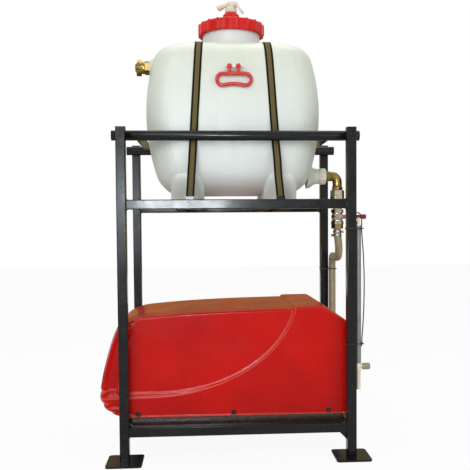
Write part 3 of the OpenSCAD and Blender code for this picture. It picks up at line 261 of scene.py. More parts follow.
def frame_paint():
    """Near-black gloss paint with orange peel, a little dust and rubbed edges."""
    s = Shader("frame_paint", rough=0.2, gloss=0.16, Coat_Weight=0.08, Coat_Roughness=0.08)
    drift = s.mix(s.patches(5.0, 4.0, 0.35, 0.7), (15, 14, 15), (24, 25, 29))
    dust = s.math("MULTIPLY", s.patches(55.0, 6.0, 0.55, 0.8, 0.7), 0.22)
    drift = s.mix(dust, drift, (96, 94, 88))
    chips = s.math("MULTIPLY", s.edges(0.53, 0.64), s.patches(120.0, 4.0, 0.52, 0.68))
    s.colour(s.stain(drift, chips, 0.5, (92, 90, 88)))
    s.rough(18.0, 5.0, 0.15, 0.3)
    s.grain(260.0, 2.0, 0.2, 0.0004)


def tank_plastic():
    """Milky polyethylene: greenish towards the top, clouded, with faint upright streaks."""
    s = Shader("tank_plastic", rough=0.42, Subsurface_Weight=0.22, Subsurface_Scale=0.03)
    s.out.inputs["Subsurface Radius"].default_value = (1.0, 0.95, 0.8)
    body = s.mix(s.ramp(s.split()["Z"], 1.45, 1.82), (224, 231, 226), (220, 228, 204))
    cloud = s.patches(5.5, 4.0, 0.35, 0.68, 0.5)
    body = s.stain(body, cloud, 0.35, (206, 213, 203))
    streak = s.patches(26.0, 4.0, 0.5, 0.75, 0.6, stretch=(1.0, 1.0, 0.06))
    body = s.stain(body, streak, 0.22, (198, 203, 188))
    # Painted shade: the tank's left and right sides, away from its middle, are mixed towards a darker, greener
    # colour, as if light falls off round them.
    shaded_side_reach = s.math("ABSOLUTE", s.math("ADD", s.split()["X"], 0.007), 0.0)
    body = s.mix(s.ramp(shaded_side_reach, 0.25, 0.36, 0.0, 0.6), body, (198, 205, 184))
    body = s.mix(s.ramp(s.split()["Z"], 1.796, 1.806, 0.0, 0.8), body, (224, 227, 230))
    # Painted shade: darker and browner low on the belly and over the feet, where shade falls under the tank.
    under = s.ramp(s.split()["Z"], 1.115, 1.2, 1.0, 0.0)
    body = s.stain(body, under, 0.4, (172, 166, 148))
    specks = s.patches(420.0, 2.0, 0.7, 0.78)
    s.colour(s.stain(body, specks, 0.25, (150, 150, 138)))
    s.rough(12.0, 4.0, 0.34, 0.5)
    s.grain(14.0, 3.0, 0.25, 0.0016)
    s.grain(650.0, 2.0, 0.2, 0.0003)


def hood_red():
    """Glossy red casing: slightly wavy moulding under a clear shine, dust in patches."""
    s = Shader("hood_red", rough=0.24, gloss=0.12, Coat_Weight=0.05, Coat_Roughness=0.05)
    drift = s.mix(s.patches(3.2, 4.0, 0.35, 0.68), (200, 10, 2), (176, 6, 2))
    dust = s.math("MULTIPLY", s.patches(70.0, 6.0, 0.56, 0.78, 0.7), 0.06)
    drift = s.mix(dust, drift, (206, 96, 78))
    # Painted highlight, partly rubbed wear: the hood's creases and convex edges are made paler orange, standing in
    # for the light they catch.
    edge_mark = s.math("MULTIPLY", s.edges(0.505, 0.56), s.ramp(s.noise(26.0, 4.0), 0.3, 0.62, 0.45, 1.0))
    s.colour(s.stain(drift, edge_mark, 0.8, (238, 112, 72)))
    s.rough(9.0, 5.0, 0.2, 0.34)
    s.grain(4.5, 2.0, 0.35, 0.004)
    s.grain(330.0, 2.0, 0.16, 0.0003)


def webbing():
    """Tan ratchet webbing with black selvedges, woven along its own length."""
    s = Shader("strap_webbing", rough=0.9, gloss=0.1, Sheen_Weight=0.03)
    uv = s.node("UVMap").outputs["UV"]
    across = s.split(uv)
    side = s.ramp(s.math("ABSOLUTE", s.math("SUBTRACT", across["X"], 0.5), 0.0), 0.24, 0.28)
    ribs = s.node("TexWave", wave_type="BANDS", bands_direction="Y", wave_profile="SIN", Scale=1.0, Distortion=0.6)
    s.link(s.mapped((4.0, 140.0, 1.0), uv), ribs.inputs["Vector"])
    yarns = s.node("TexWave", wave_type="BANDS", bands_direction="X", wave_profile="SIN", Scale=3.4)
    s.link(uv, yarns.inputs["Vector"])
    weave = s.math("MULTIPLY", ribs.outputs["Fac"], s.math("ADD", yarns.outputs["Fac"], 0.5))
    tan = s.mix(weave, (84, 75, 44), (134, 121, 76))
    tan = s.stain(tan, s.patches(24.0, 5.0, 0.45, 0.7), 0.4, (96, 88, 58))
    black = s.mix(weave, (13, 13, 11), (32, 31, 26))
    s.colour(s.mix(side, tan, black))
    s.bump(weave, 0.7, 0.0009)
    s.grain(1400.0, 2.0, 0.3, 0.0002)


def lever_sleeve():
    """Dipped lever sleeve: faded orange-brown at the stem, dark red at the grip."""
    s = Shader("lever_red", rough=0.42, gloss=0.3)
    along = s.ramp(s.split()["X"], 0.5, 0.56)
    body = s.mix(along, (178, 84, 50), (132, 22, 20))
    scuff = s.patches(150.0, 5.0, 0.5, 0.75, 0.7)
    s.colour(s.stain(body, scuff, 0.35, (96, 48, 36)))
    s.rough(60.0, 4.0, 0.34, 0.55)
    s.grain(420.0, 3.0, 0.25, 0.0003)


def hose_skin(name, colour, rough=0.42, ring=0.0, clear=0.0):
    """Hose wall: cloudy, with a faint winding seen through it and scuffs outside."""
    s = Shader(name, rough=rough, Subsurface_Weight=0.12, Subsurface_Scale=0.01, Transmission_Weight=clear)
    dark = shade(colour, 0.72)
    body = s.mix(s.patches(30.0, 5.0, 0.35, 0.7), linear(colour), dark)
    uv = s.node("UVMap").outputs["UV"]
    wind = s.node("TexWave", wave_type="BANDS", bands_direction="DIAGONAL", wave_profile="SIN", Scale=1.0)
    s.link(s.mapped((1.0, ring, 1.0), uv), wind.inputs["Vector"])
    pale = shade(colour, 1.25, 0.01)
    body = s.stain(body, wind.outputs["Fac"], 0.3, pale)
    scuff = s.patches(140.0, 5.0, 0.58, 0.75, 0.7)
    s.colour(s.stain(body, scuff, 0.3, (92, 88, 70)))
    s.rough(50.0, 4.0, rough * 0.8, rough * 1.25)
    s.grain(500.0, 3.0, 0.2, 0.0003)


frame_paint()
tank_plastic()
hood_red()
webbing()
plastic("black_plastic", (26, 25, 25), 0.36, 0.25)
plastic("basket_plastic", (52, 84, 142), 0.4)
plastic("lid_plastic", (204, 20, 8), 0.34, 0.1, gloss=0.2)
plastic("black_rubber", (30, 30, 30), 0.72, 0.2, 500.0, 0.0004)
plastic("brown_rubber", (104, 66, 38), 0.6, 0.2, 500.0, 0.0004)
plastic("white_plastic", (216, 213, 196), 0.34, 0.06, Subsurface_Weight=0.08)
plastic("handle_plastic", (202, 20, 16), 0.26, 0.1, gloss=0.4, Coat_Weight=0.1, Coat_Roughness=0.1)
metal("zinc", (150, 148, 138), 0.32, 0.3)
metal("brass", (136, 116, 66), 0.28, 0.45)
metal("nickel", (182, 174, 152), 0.22, 0.4)
metal("ball_chrome", (220, 221, 222), 0.08, 0.05)
lever_sleeve()
hose_skin("hose_olive", (158, 152, 116), 0.4, 130.0)
plastic("cream_plastic", (226, 220, 196), 0.36, 0.06, Subsurface_Weight=0.1)
hose_skin("hose_grey", (126, 129, 121), 0.36, 150.0)
plastic("tan_plastic", (152, 146, 112), 0.42, 0.12)
plastic("cable_black", (28, 28, 29), 0.5, 0.2, 1200.0, 0.0002)
plastic("motor_grey", (92, 104, 116), 0.45, 0.15, 500.0, 0.0004)
metal("shaft_steel", (178, 178, 180), 0.26, 0.15)
metal("pump_alloy", (140, 140, 142), 0.5, 0.2)
plastic("filter_plastic", (70, 74, 80), 0.35, 0.12)


# ---- mesh helpers

def turns(steps):
    """Even angles round a full turn."""
    return [2 * pi * k / steps for k in range(steps)]


class Build:
    """Points and faces that grow shape by shape into one mesh."""

    def __init__(self):
        self.points, self.faces, self.uv = [], [], []

    def face(self, corners, flip):
        self.faces.append(corners[::-1] if flip else corners)

    def rings(self, rings, close=True, caps=0, flip=False, uv=None):
        """Joins rings of equally many points. caps closes the first ring (1) or both ends (2)."""
        first, n = len(self.points), len(rings[0])
        for i, ring in enumerate(rings):
            self.points += [tuple(p) for p in ring]
            if uv:
                self.uv += [uv(i, k) for k in range(n)]
        for i in range(len(rings) - 1):
            for k in range(n if close else n - 1):
                a, b = first + i * n + k, first + i * n + (k + 1) % n
                self.face((a, b, b + n, a + n), flip)
        if caps:
            self.face([first + k for k in range(n)][::-1], flip)
        if caps > 1:
            self.face([first + (len(rings) - 1) * n + k for k in range(n)], flip)
        return self

    def lathe(self, profile, origin, axis="Z", steps=48, wave=None, sign=1):
        """Turns a closed profile of (radius, height) round an axis through the origin."""
        rings = []
        for r, h in profile:
            ring = []
            for a in turns(steps):
                rr, hh = wave(r, h, a) if wave else (r, h)
                u, v, w = rr * cos(a), rr * sin(a), hh * sign
                ring.append({"Z": (u, v, w), "X": (w, u, v), "Y": (v, w, u)}[axis])
            rings.append([tuple(o + c for o, c in zip(origin, p)) for p in ring])
        self.rings(rings, flip=sign < 0)
        if profile[0][0] > 0.01 or profile[-1][0] > 0.01:
            first = len(self.points) - len(rings) * steps
            last = len(self.points) - steps
            for k in range(steps):
                after = (k + 1) % steps
                self.face((last + k, last + after, first + after, first + k), sign < 0)
        return self

    def tube(self, path, radius, steps=16, wave=None, length_uv=False):
        """A round tube swept along a path, capped at both ends."""
        path = [Vector(p) for p in path]
        frames, gone = [], 0.0
        up = None
        for i, p in enumerate(path):
            d = (path[min(i + 1, len(path) - 1)] - path[max(i - 1, 0)]).normalized()
            if up is None:
                up = d.cross(Vector((0, 1, 0)) if abs(d.y) < 0.8 else Vector((1, 0, 0))).normalized()
            up = (up - d * up.dot(d)).normalized()
            if i:
                gone += (p - path[i - 1]).length
            frames.append((p, up.copy(), d.cross(up), gone))
        rings = []
        for i, (p, u, v, s) in enumerate(frames):
            ring = []
            for a in turns(steps):
                r = radius(i, s) if callable(radius) else radius
                r += wave(s, a) if wave else 0.0
                ring.append(p + (u * cos(a) + v * sin(a)) * r)
            rings.append(ring)
        uv = (lambda i, k: (k / steps, frames[i][3] * MM)) if length_uv else None
        return self.rings(rings, caps=2, uv=uv)

    def done(self, name, body, slot, replaces=(), sharp=None):
        """Makes the mesh, riding on a body and in the place of the CAD nodes it replaces."""
        mesh = bpy.data.meshes.new(name)
        mesh.from_pydata([(x * MM, y * MM, z * MM) for x, y, z in self.points], [], self.faces)
        mesh.polygons.foreach_set("use_smooth", [True] * len(mesh.polygons))
        if sharp is not None:
            mesh.set_sharp_from_angle(angle=radians(sharp))
        if self.uv:
            layer = mesh.uv_layers.new(name="along")
            for loop in mesh.loops:
                layer.data[loop.index].uv = self.uv[loop.vertex_index]
        mesh.update()
        obj = place_object(name, mesh)
        mesh.materials.append(MATERIALS[slot])
        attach(obj, body)
        if replaces:
            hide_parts(*replaces)
        obj.modifiers.new("weld", "WELD").merge_threshold = WELD_GAP
        return obj


def smooth_path(points, step=6.0):
    """A Catmull-Rom curve through the points, about one sample every step."""
    points = [Vector(p) for p in points]
    ends = [points[0] * 2 - points[1]] + points + [points[-1] * 2 - points[-2]]
    out = []
    for i in range(len(points) - 1):
        a, b, c, d = ends[i:i + 4]
        n = max(2, int((c - b).length / step))
        for k in range(n):
            t = k / n
            out.append(0.5 * (2 * b + (c - a) * t + (2 * a - 5 * b + 4 * c - d) * t * t
                              + (3 * b - a - 3 * c + d) * t ** 3))
    out.append(points[-1])
    return out


def arc(centre, start, end, angle, steps):
    """Points that turn start into end about the centre; start and end are unit vectors times radius."""
    return [centre + start * cos(angle * k / steps) + end * sin(angle * k / steps)
            for k in range(steps + 1)]


def lerp(a, b, t):
    return a[0] + (b[0] - a[0]) * t, a[1] + (b[1] - a[1]) * t


def bell(value, width):
    """A bump of height 1 at 0."""
    return exp(-(value / width) ** 2)


def step_up(value, low, high):
    """0 below low, 1 above high and smooth between."""
    t = min(1.0, max(0.0, (value - low) / (high - low)))
    return t * t * (3 - 2 * t)


# ---- tank

TANK_X, BELLY_Z, TANK_Z1, TANK_ZW = -7.0, 1133.0, 1797.0, 1480.0
SHOULDER, EDGE_R = 110.0, 100.0
HALF_W, SIDE_R, HALF_D, FACE_R = 380.0, 900.0, 258.0, 1400.0
ROUND_TOP, ROUND_LOW = TANK_Z1 - SHOULDER, BELLY_Z + SHOULDER
NECK_R, NECK_Z1, NECK_FILLET, TANK_WALL = 130.0, 1877.0, 12.0, 0.006
FOOT_X, FOOT_Y, FOOT_HX, FOOT_HY = 202.5, 120, 72.5, 75
# How far each level of a foot is drawn in and reaches ahead, its corner radius and its height
FOOT_STEPS = ((6, 0, 14, 1100), (2.5, 0, 16, 1101), (0.6, 0, 18, 1103.5), (0, 0, 18, 1108), (0, 4, 18, 1122),
              (0, 10, 20, 1136), (0, 17, 22, 1150), (0, 24, 25, 1165), (0, 31, 28, 1180), (0, 36, 32, 1195),
              (0, 38, 36, 1210), (0, 38, 40, 1222))


def barrel(z, half, side_r):
    """Half-width of the tank's barrelled outline at height z."""
    middle = half - side_r
    top = middle + sqrt((side_r - SHOULDER) ** 2 - (ROUND_TOP - TANK_ZW) ** 2)
    low = middle + sqrt((side_r - SHOULDER) ** 2 - (TANK_ZW - ROUND_LOW) ** 2)
    share = side_r / (side_r - SHOULDER)
    if z > TANK_ZW + (ROUND_TOP - TANK_ZW) * share:
        return top + sqrt(max(0.0, SHOULDER ** 2 - (z - ROUND_TOP) ** 2))
    if z < TANK_ZW - (TANK_ZW - ROUND_LOW) * share:
        return low + sqrt(max(0.0, SHOULDER ** 2 - (z - ROUND_LOW) ** 2))
    return middle + sqrt(side_r ** 2 - (z - TANK_ZW) ** 2)


def rounded_rect(hx, hy, r, arc_steps, long_steps, short_steps):
    """Points round a rectangle with round corners, from the foot of its right side."""
    out = []
    for q, (sx, sy) in enumerate(((1, 1), (-1, 1), (-1, -1), (1, -1))):
        steps = short_steps if q % 2 == 0 else long_steps
        cx, cy = sx * (hx - r), sy * (hy - r)
        before = [(hx, -(hy - r)), (hx - r, hy), (-hx, hy - r), (-(hx - r), -hy)][q]
        after = [(hx, hy - r), (-(hx - r), hy), (-hx, -(hy - r)), (hx - r, -hy)][q]
        for k in range(steps):
            t = k / steps
            out.append((before[0] + (after[0] - before[0]) * t, before[1] + (after[1] - before[1]) * t))
        for k in range(arc_steps):
            a = pi / 2 * (q + k / arc_steps)
            out.append((cx + r * cos(a), cy + r * sin(a)))
    return out


def cornered(outline, hx, hy):
    """Draws the corners in a little, so that a faint line shows where they leave the flat faces."""
    out = []
    for x, y in outline:
        u, v = abs(x) - (hx - EDGE_R), abs(y) - (hy - EDGE_R)
        if u > 0.5 and v > 0.5:
            a = atan2(v, u)
            pull = 2.6 * sin(2 * a) ** 0.6
            x -= copysign(pull * cos(a), x)
            y -= copysign(pull * sin(a), y)
        out.append((x, y))
    return out


def tank_ring(z):
    """The tank's outline at height z."""
    hx, hy = barrel(z, HALF_W, SIDE_R), barrel(z, HALF_D, FACE_R)
    return [(x + TANK_X, y, z) for x, y in cornered(rounded_rect(hx, hy, EDGE_R, 18, 22, 12), hx, hy)]


def inside_level(x, y, z):
    """Whether a place in plan lies inside the outline at height z."""
    dx = abs(x) - (barrel(z, HALF_W, SIDE_R) - EDGE_R)
    dy = abs(y) - (barrel(z, HALF_D, FACE_R) - EDGE_R)
    if dx <= 0 or dy <= 0:
        return max(dx, dy) <= EDGE_R
    return dx * dx + dy * dy <= EDGE_R ** 2


def roof_z(x, y):
    """Height of the tank's top over a place in plan, measured from the tank's middle."""
    low, high = ROUND_TOP, TANK_Z1
    if inside_level(x, y, high):
        return high
    for _ in range(40):
        mid = (low + high) / 2
        low, high = (mid, high) if inside_level(x, y, mid) else (low, mid)
    return low


def make_tank():
    """The shell from belly to neck, then the feet and the bosses of the two side fittings."""
    build = Build()
    levels = [ROUND_LOW - SHOULDER * cos(pi / 2 * k / 16) for k in range(17)]
    levels += [ROUND_LOW + (ROUND_TOP - ROUND_LOW) * k / 36 for k in range(1, 36)]
    turn_end = asin((1793.2 - ROUND_TOP) / SHOULDER)
    levels += [ROUND_TOP + SHOULDER * sin(turn_end * k / 16) for k in range(17)]
    rings = [tank_ring(z) for z in levels]
    last = rings[-1]
    outer = NECK_R + NECK_FILLET
    circle = []
    for x, y, _ in last:
        d = hypot(x - TANK_X, y)
        circle.append(((x - TANK_X) / d, y / d))
    for k in range(1, 11):
        t = k / 10
        ring = []
        for (x, y, _), (cx, cy) in zip(last, circle):
            px = (x - TANK_X) * (1 - t) + cx * outer * t
            py = y * (1 - t) + cy * outer * t
            ring.append((px + TANK_X, py, roof_z(px, py)))
        rings.append(ring)
    foot = [p[2] for p in rings[-1]]
    for k in range(1, 7):
        a = pi / 2 * k / 6
        r = outer - NECK_FILLET * sin(a)
        rings.append([(cx * r + TANK_X, cy * r, z + NECK_FILLET * (1 - cos(a)))
                      for (cx, cy), z in zip(circle, foot)])
    for r, z in ((NECK_R, 1818), (NECK_R, 1846), (NECK_R, NECK_Z1 - 3), (NECK_R - 1, NECK_Z1 - 1),
                 (NECK_R - 3, NECK_Z1)):
        rings.append([(cx * r + TANK_X, cy * r, z) for cx, cy in circle])
    build.rings(rings, caps=1)
    tank = build.done("tank_shell", "stand", "tank_plastic", ["tank"], sharp=7.5)
    wall = tank.modifiers.new("wall", "SOLIDIFY")
    wall.thickness, wall.offset = TANK_WALL, -1.0

    feet = Build()
    for sx, sy in QUARTERS:
        feet.rings([[(x + TANK_X + sx * FOOT_X, y + sy * (FOOT_Y + ahead / 2), z) for x, y in
                     rounded_rect(FOOT_HX - inset, FOOT_HY + ahead / 2 - inset, corner, 10, 6, 6)]
                    for inset, ahead, corner, z in FOOT_STEPS], caps=2)
    feet.lathe([(22, 389), (31.5, 389), (34, 386.5), (35, 374), (38, 364), (44, 355), (52, 346), (56, 330),
                (22, 330)], (0, -60, 1214), "X", 56)
    feet.lathe([(17, -372.2), (31, -372.2), (33.6, -370.6), (35.5, -366), (40, -358), (44, -350),
                (17, -350)][::-1], (0, -125, 1687), "X", 48)
    feet.done("tank_feet_and_bosses", "stand", "tank_plastic", sharp=40)


make_tank()


# ---- screw lid and vent

LID_Z1, LID_RIBS, RIB_OUT, RIB_UP = 1910.0, 20, 3.6, 3.4


def make_lid():
    """The ribbed cap with its domed top and the boss under the vent tap."""
    def wave(r, h, a):
        ridge = max(0.0, cos(LID_RIBS * a + pi)) ** 7
        if r < 135:
            ripple = 1.1 * cos(24 * a) * step_up(h, LID_Z1 + 17, LID_Z1 + 24) if 30 < r < 40 else 0.0
            return r + ripple, h
        lift = step_up(h, LID_Z1 - 16, LID_Z1 - 2)
        return r + RIB_OUT * ridge * step_up(r, 140, 147), h + RIB_UP * ridge * lift
    profile = [(r, LID_Z1 + h) for r, h in (
        (8, -25), (131, -25), (131, -51), (146.5, -51), (148.6, -49.8), (149, -47), (149, -31), (149, -14),
        (148.4, -7), (145.5, -2), (141, 0), (136, 0.6), (132, -0.4), (110, 4.2), (80, 9), (60, 11.4),
        (47, 13.4), (41, 16), (36.4, 21), (34.4, 28), (34, 37), (35.6, 41), (36, 46), (34.6, 49.5),
        (29.4, 52), (26.4, 55), (24.6, 60), (24.2, 73), (23.4, 74), (8, 74))]
    Build().lathe(profile, (TANK_X, 0, 0), "Z", 240, wave).done(
        "lid_cap", "lid", "lid_plastic", ["tank_lid"], sharp=50)


def make_vent_tap():
    """The vent's elbowed spout on its union nut, and the paddle that turns its plug."""
    build = Build()
    nut = [(9, 1969), (25.4, 1969), (26.6, 1970.4), (27, 1973), (26.6, 1986), (25.4, 1991), (22, 1993.5), (9, 1993.5)]
    build.lathe(nut, (TANK_X, 0, 0), "Z", 96,
                lambda r, h, a: (r + (0.7 * cos(24 * a) if r > 25.5 else 0.0), h))
    dome = [(0.0, 1986.0)] + [(25.5 * sin(a) ** 0.85, 2005 - 21.5 * cos(a))
                              for a in [radians(30 + 150 * k / 18) for k in range(18)]] + [(0.0, 2026.5)]
    build.lathe(dome, (TANK_X + 3, 0, 0), "Z", 56)
    lean = radians(62)
    way = Vector((-sin(lean), 0, cos(lean) * -0.12)).normalized()
    start = Vector((TANK_X - 2, 0, 2008))
    spout = [start + way * (3 * k) + Vector((0, 0, -0.017 * (3 * k) ** 2 * 0.32)) for k in range(20)]
    build.tube(spout, lambda i, s: 11.0 + 2.4 * step_up(s, 30, 50) - 1.6 * bell(s - 57, 2.0), 32)
    boss = [(0.0, -8), (10.2, -8), (11.2, -6.8), (11.2, 10), (0.0, 10)]
    build.lathe(boss, (TANK_X + 20, -12, 2004), "Y", 32)
    build.done("vent_tap_shell", "lid", "white_plastic", ["vent_tap_body"], sharp=40)

    low, high = box_mm("vent_tap_lever")
    pin = Vector((13.0, -21.0, 2005.0))
    end = Vector((high[0] - 5, -24.0, low[2] + 5))
    ahead = (end - pin).normalized()
    over = ahead.cross(Vector((0, 1, 0)))
    rings = []
    for k in range(25):
        t = k / 24
        middle = pin.lerp(end, t) + Vector((0, -2.5 * sin(pi * t), 0))
        wide = 5.2 + 2.6 * step_up(t, 0.35, 1.0) - 6.0 * max(0.0, t - 0.93) / 0.07 * 0.6
        rings.append([middle + over * wide * cos(a) + Vector((0, 2.7 * sin(a), 0))
                      for a in turns(24)])
    paddle = Build().rings(rings, caps=2)
    hub = [(0.0, -7), (8.6, -7), (9.4, -6), (9.4, 3), (0.0, 3)]
    paddle.lathe(hub, (13, -19, 2005), "Y", 32)
    paddle.done("vent_tap_paddle", "vent_lever", "white_plastic", ["vent_tap_lever"], sharp=40)


make_lid()
make_vent_tap()


# ---- pull handle

def make_handle():
    """The bean-shaped loop, its arms and round ears, fused into one moulding."""
    rod, loop_r, drop, grip_r, half = 7.5, 25.0, 56.0, 190.0, 48.0
    pin = Vector((TANK_X, -264.0, 1667.0))
    rise = asin(half / grip_r)
    path = []
    for sx in (1, -1):
        path += [Vector((sx * (half + loop_r * sin(a)), 0, -drop + sx * loop_r * cos(a)))
                 for a in [pi * k / 16 for k in range(17)]]
        if sx > 0:
            low = -drop - loop_r - grip_r * cos(rise)
            path += [Vector((grip_r * sin(b), 0, low + grip_r * cos(b)))
                     for b in [rise - 2 * rise * k / 12 for k in range(1, 12)]]
        else:
            path += [Vector((-half + 2 * half * k / 8, 0, -drop + loop_r)) for k in range(1, 8)]
    build = Build()
    n = len(path)
    rings = []
    for i, p in enumerate(path):
        d = (path[(i + 1) % n] - path[i - 1]).normalized()
        u = Vector((0, 1, 0))
        v = d.cross(u)
        rings.append([pin + p + (u * cos(a) + v * sin(a) * 1.02) * rod
                      for a in turns(20)])
    rings.append(rings[0])
    build.rings(rings)
    for sx in (-1, 1):
        x = sx * 19.0
        arm = [pin + Vector((x, 0, z)) for z in (-drop + loop_r, -24, -16, -8, -2)]
        build.tube(arm, lambda i, s: (7.5, 6.0, 5.6, 6.2, 7.0)[i], 20)
        ear = [(0.0, -11.0)] + [(11 * sin(a), -11 * cos(a)) for a in
                                [pi * k / 14 for k in range(1, 14)]] + [(0.0, 11.0)]
        build.lathe(ear, tuple(pin + Vector((x, 0, 0))), "X", 24)
    obj = build.done("handle_loop", "handle", "handle_plastic", ["pull_handle"])
    fuse = obj.modifiers.new("fuse", "REMESH")
    fuse.mode, fuse.voxel_size, fuse.use_smooth_shade = "VOXEL", 0.0012, True
    soft = obj.modifiers.new("soft", "SMOOTH")
    soft.factor, soft.iterations = 0.5, 5


make_handle()


# ---- straps

STRAP_OFF, STRAP_WIDER, STRAP_WIDE = 1.55, 1.09, 34.9
LUG_Z, LUG_H, STRAP_FREE_Z = 1070.0, 44.0, 1345


def strap_x(z):
    """How far from the tank's middle a strap runs at height z."""
    return 147.0 + (193.0 - 147.0) * (TANK_Z1 - z) / (TANK_Z1 - LUG_Z)


def make_straps():
    """Each strap runs from its front lug over the tank to its rear lug."""
    middle = HALF_D - FACE_R
    cy = middle + sqrt((FACE_R - SHOULDER) ** 2 - (ROUND_TOP - TANK_ZW) ** 2)
    r = SHOULDER + STRAP_OFF
    side = [(cy * k / 4, ROUND_TOP + r) for k in range(4)]
    side += [(cy + r * cos(a), ROUND_TOP + r * sin(a))
             for a in [radians(90 - 76 * k / 16) for k in range(17)]]
    side += [(barrel(z, HALF_D, FACE_R) + STRAP_OFF, z)
             for z in [ROUND_TOP + 14 - 226 * k / 16 for k in range(1, 17)]]
    tube_y, lug_y = 266.05, 303.75
    side += [(tube_y + 0.15, 1400.0), (tube_y, 1385.0), (tube_y, 1370.0), (tube_y + 0.2, 1358.0)]
    side += [(tube_y + (lug_y - tube_y) * t, 1350 - (1350 - LUG_Z - LUG_H) * t) for t in
             [k / 14 for k in range(1, 15)]]
    side += [(lug_y, LUG_Z + 30), (lug_y, LUG_Z + 4)]
    route = [(-y, z) for y, z in side[::-1]] + side[1:]
    section = [(-16, 0.0), (-15.6, 0.85), (-14.6, 1.2), (-11.5, 1.22), (-9.9, 0.95), (-9.2, 1.18), (0, 1.25),
               (9.2, 1.18), (9.9, 0.95), (11.5, 1.22), (14.6, 1.2), (15.6, 0.85), (16, 0.0)]
    section = [(w * STRAP_WIDER, h) for w, h in section]
    section += [(w, -h) for w, h in section[-2:0:-1]]
    for name, sx, seed in (("left", -1, 3.0), ("right", 1, 11.0)):
        rings, gone, spots = [], 0.0, []
        for i, (y, z) in enumerate(route):
            a, b = route[max(0, i - 1)], route[min(len(route) - 1, i + 1)]
            dy, dz = b[0] - a[0], b[1] - a[1]
            d = hypot(dy, dz)
            ny, nz = -dz / d, dy / d
            if i:
                gone += hypot(y - route[i - 1][0], z - route[i - 1][1])
            spots.append(gone)
            x = TANK_X + sx * strap_x(z)
            sway = 1.1 * noise.noise(Vector((seed, gone * 0.012, 0.0))) if z < STRAP_FREE_Z else 0.0
            rings.append([(x + w + sway, y + ny * h, z + nz * h) for w, h in section])
        build = Build()
        build.rings(rings, caps=2,
                    uv=lambda i, k: (section[k][0] / STRAP_WIDE + 0.5, spots[i] * MM), flip=True)
        build.done("strap_band_" + name, "stand", "strap_webbing", ["strap_" + name], sharp=60)


make_straps()


# ---- hoses and cable

LINE_X = (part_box("union_fitting")[0].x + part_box("union_fitting")[1].x) / 2 / MM
DROP = Vector((510.0, 262.0, 0.0))
LEVEL_Z, HOSE_BEND = 838.0, 90.0
HOSE_SWEEP = 60.0


def make_hoses():
    top = Vector((LINE_X, -60.0, box_mm("suction_hose")[1][2]))
    flat = Vector((DROP.x - top.x, DROP.y - top.y, 0.0))
    run = flat.length
    ahead = flat / run
    down = Vector((0, 0, -1))
    path = [top + down * (top.z - LEVEL_Z - HOSE_BEND) * t for t in [k / 12 for k in range(12)]]
    c = Vector((top.x, top.y, LEVEL_Z + HOSE_BEND)) + ahead * HOSE_BEND
    path += arc(c, -ahead * HOSE_BEND, down * HOSE_BEND, pi / 2, 36)
    c2 = Vector((top.x, top.y, LEVEL_Z - HOSE_SWEEP)) + ahead * (run - HOSE_SWEEP)
    start = path[-1]
    end = c2 - down * HOSE_SWEEP
    path += [start.lerp(end, t) for t in [k / 24 for k in range(1, 24)]]
    path += arc(c2, -down * HOSE_SWEEP, ahead * HOSE_SWEEP, pi / 2, 28)
    low = Vector((DROP.x, DROP.y, box_mm("suction_hose")[0][2]))
    path += [path[-1].lerp(low, k / 60) for k in range(1, 61)]
    fine = [Vector((p.x + 9 * step_up(top.z - p.z, 0, 110) * (1 - step_up(p.y, -60, 190)), p.y, p.z))
            for p in smooth_path(path, 1.6)]
    pitch = 9.0

    def winding(s, a):
        return 0.28 * cos(2 * pi * s / pitch - a)
    Build().tube(fine, 17.6, 28, winding, length_uv=True).done(
        "suction_hose_wall", "stand", "hose_olive", ["suction_hose"], sharp=60)

    low_z, high_z = [corner[2] for corner in box_mm("dosing_hose")]
    path = [Vector((511.3, -330.0, low_z + (high_z - low_z) * k / 220)) for k in range(221)]
    Build().tube(path, 10.85, 28, lambda s, a: 0.12 * cos(2 * pi * s / 7.0 - a),
                 length_uv=True).done("dosing_hose_wall", "stand", "hose_grey", ["dosing_hose"], sharp=60)

    cable_x = 525.1
    points = [(470, -246, 452), (484, -246, 452), (500, -250, 453), (514, -266, 456), (524, -292, 462),
              (526, -315, 471), (cable_x, -330, 487), (527, -330, 520), (532, -330, 590), (535, -330, 665),
              (536, -330, 731), (535, -330, 800), (532, -330, 870), (527, -330, 940), (cable_x, -330, 975),
              (cable_x, -330, 1000), (525, -330, 1020), (520, -330, 1034), (510, -330, 1041), (500.3, -330, 1042)]
    Build().tube(smooth_path(points, 4.0), 2.45, 14, length_uv=True).done(
        "level_cable_sheath", "stand", "cable_black", ["level_cable"], sharp=60)


make_hoses()


# ---- outlet elbow and welds

def hexagon(r, a):
    """Radius of a hexagon with round corners, r across its corners' circle."""
    turn = (a + pi / 6) % (pi / 3) - pi / 6
    return min(r, r * cos(pi / 6) / cos(turn) * 1.03)


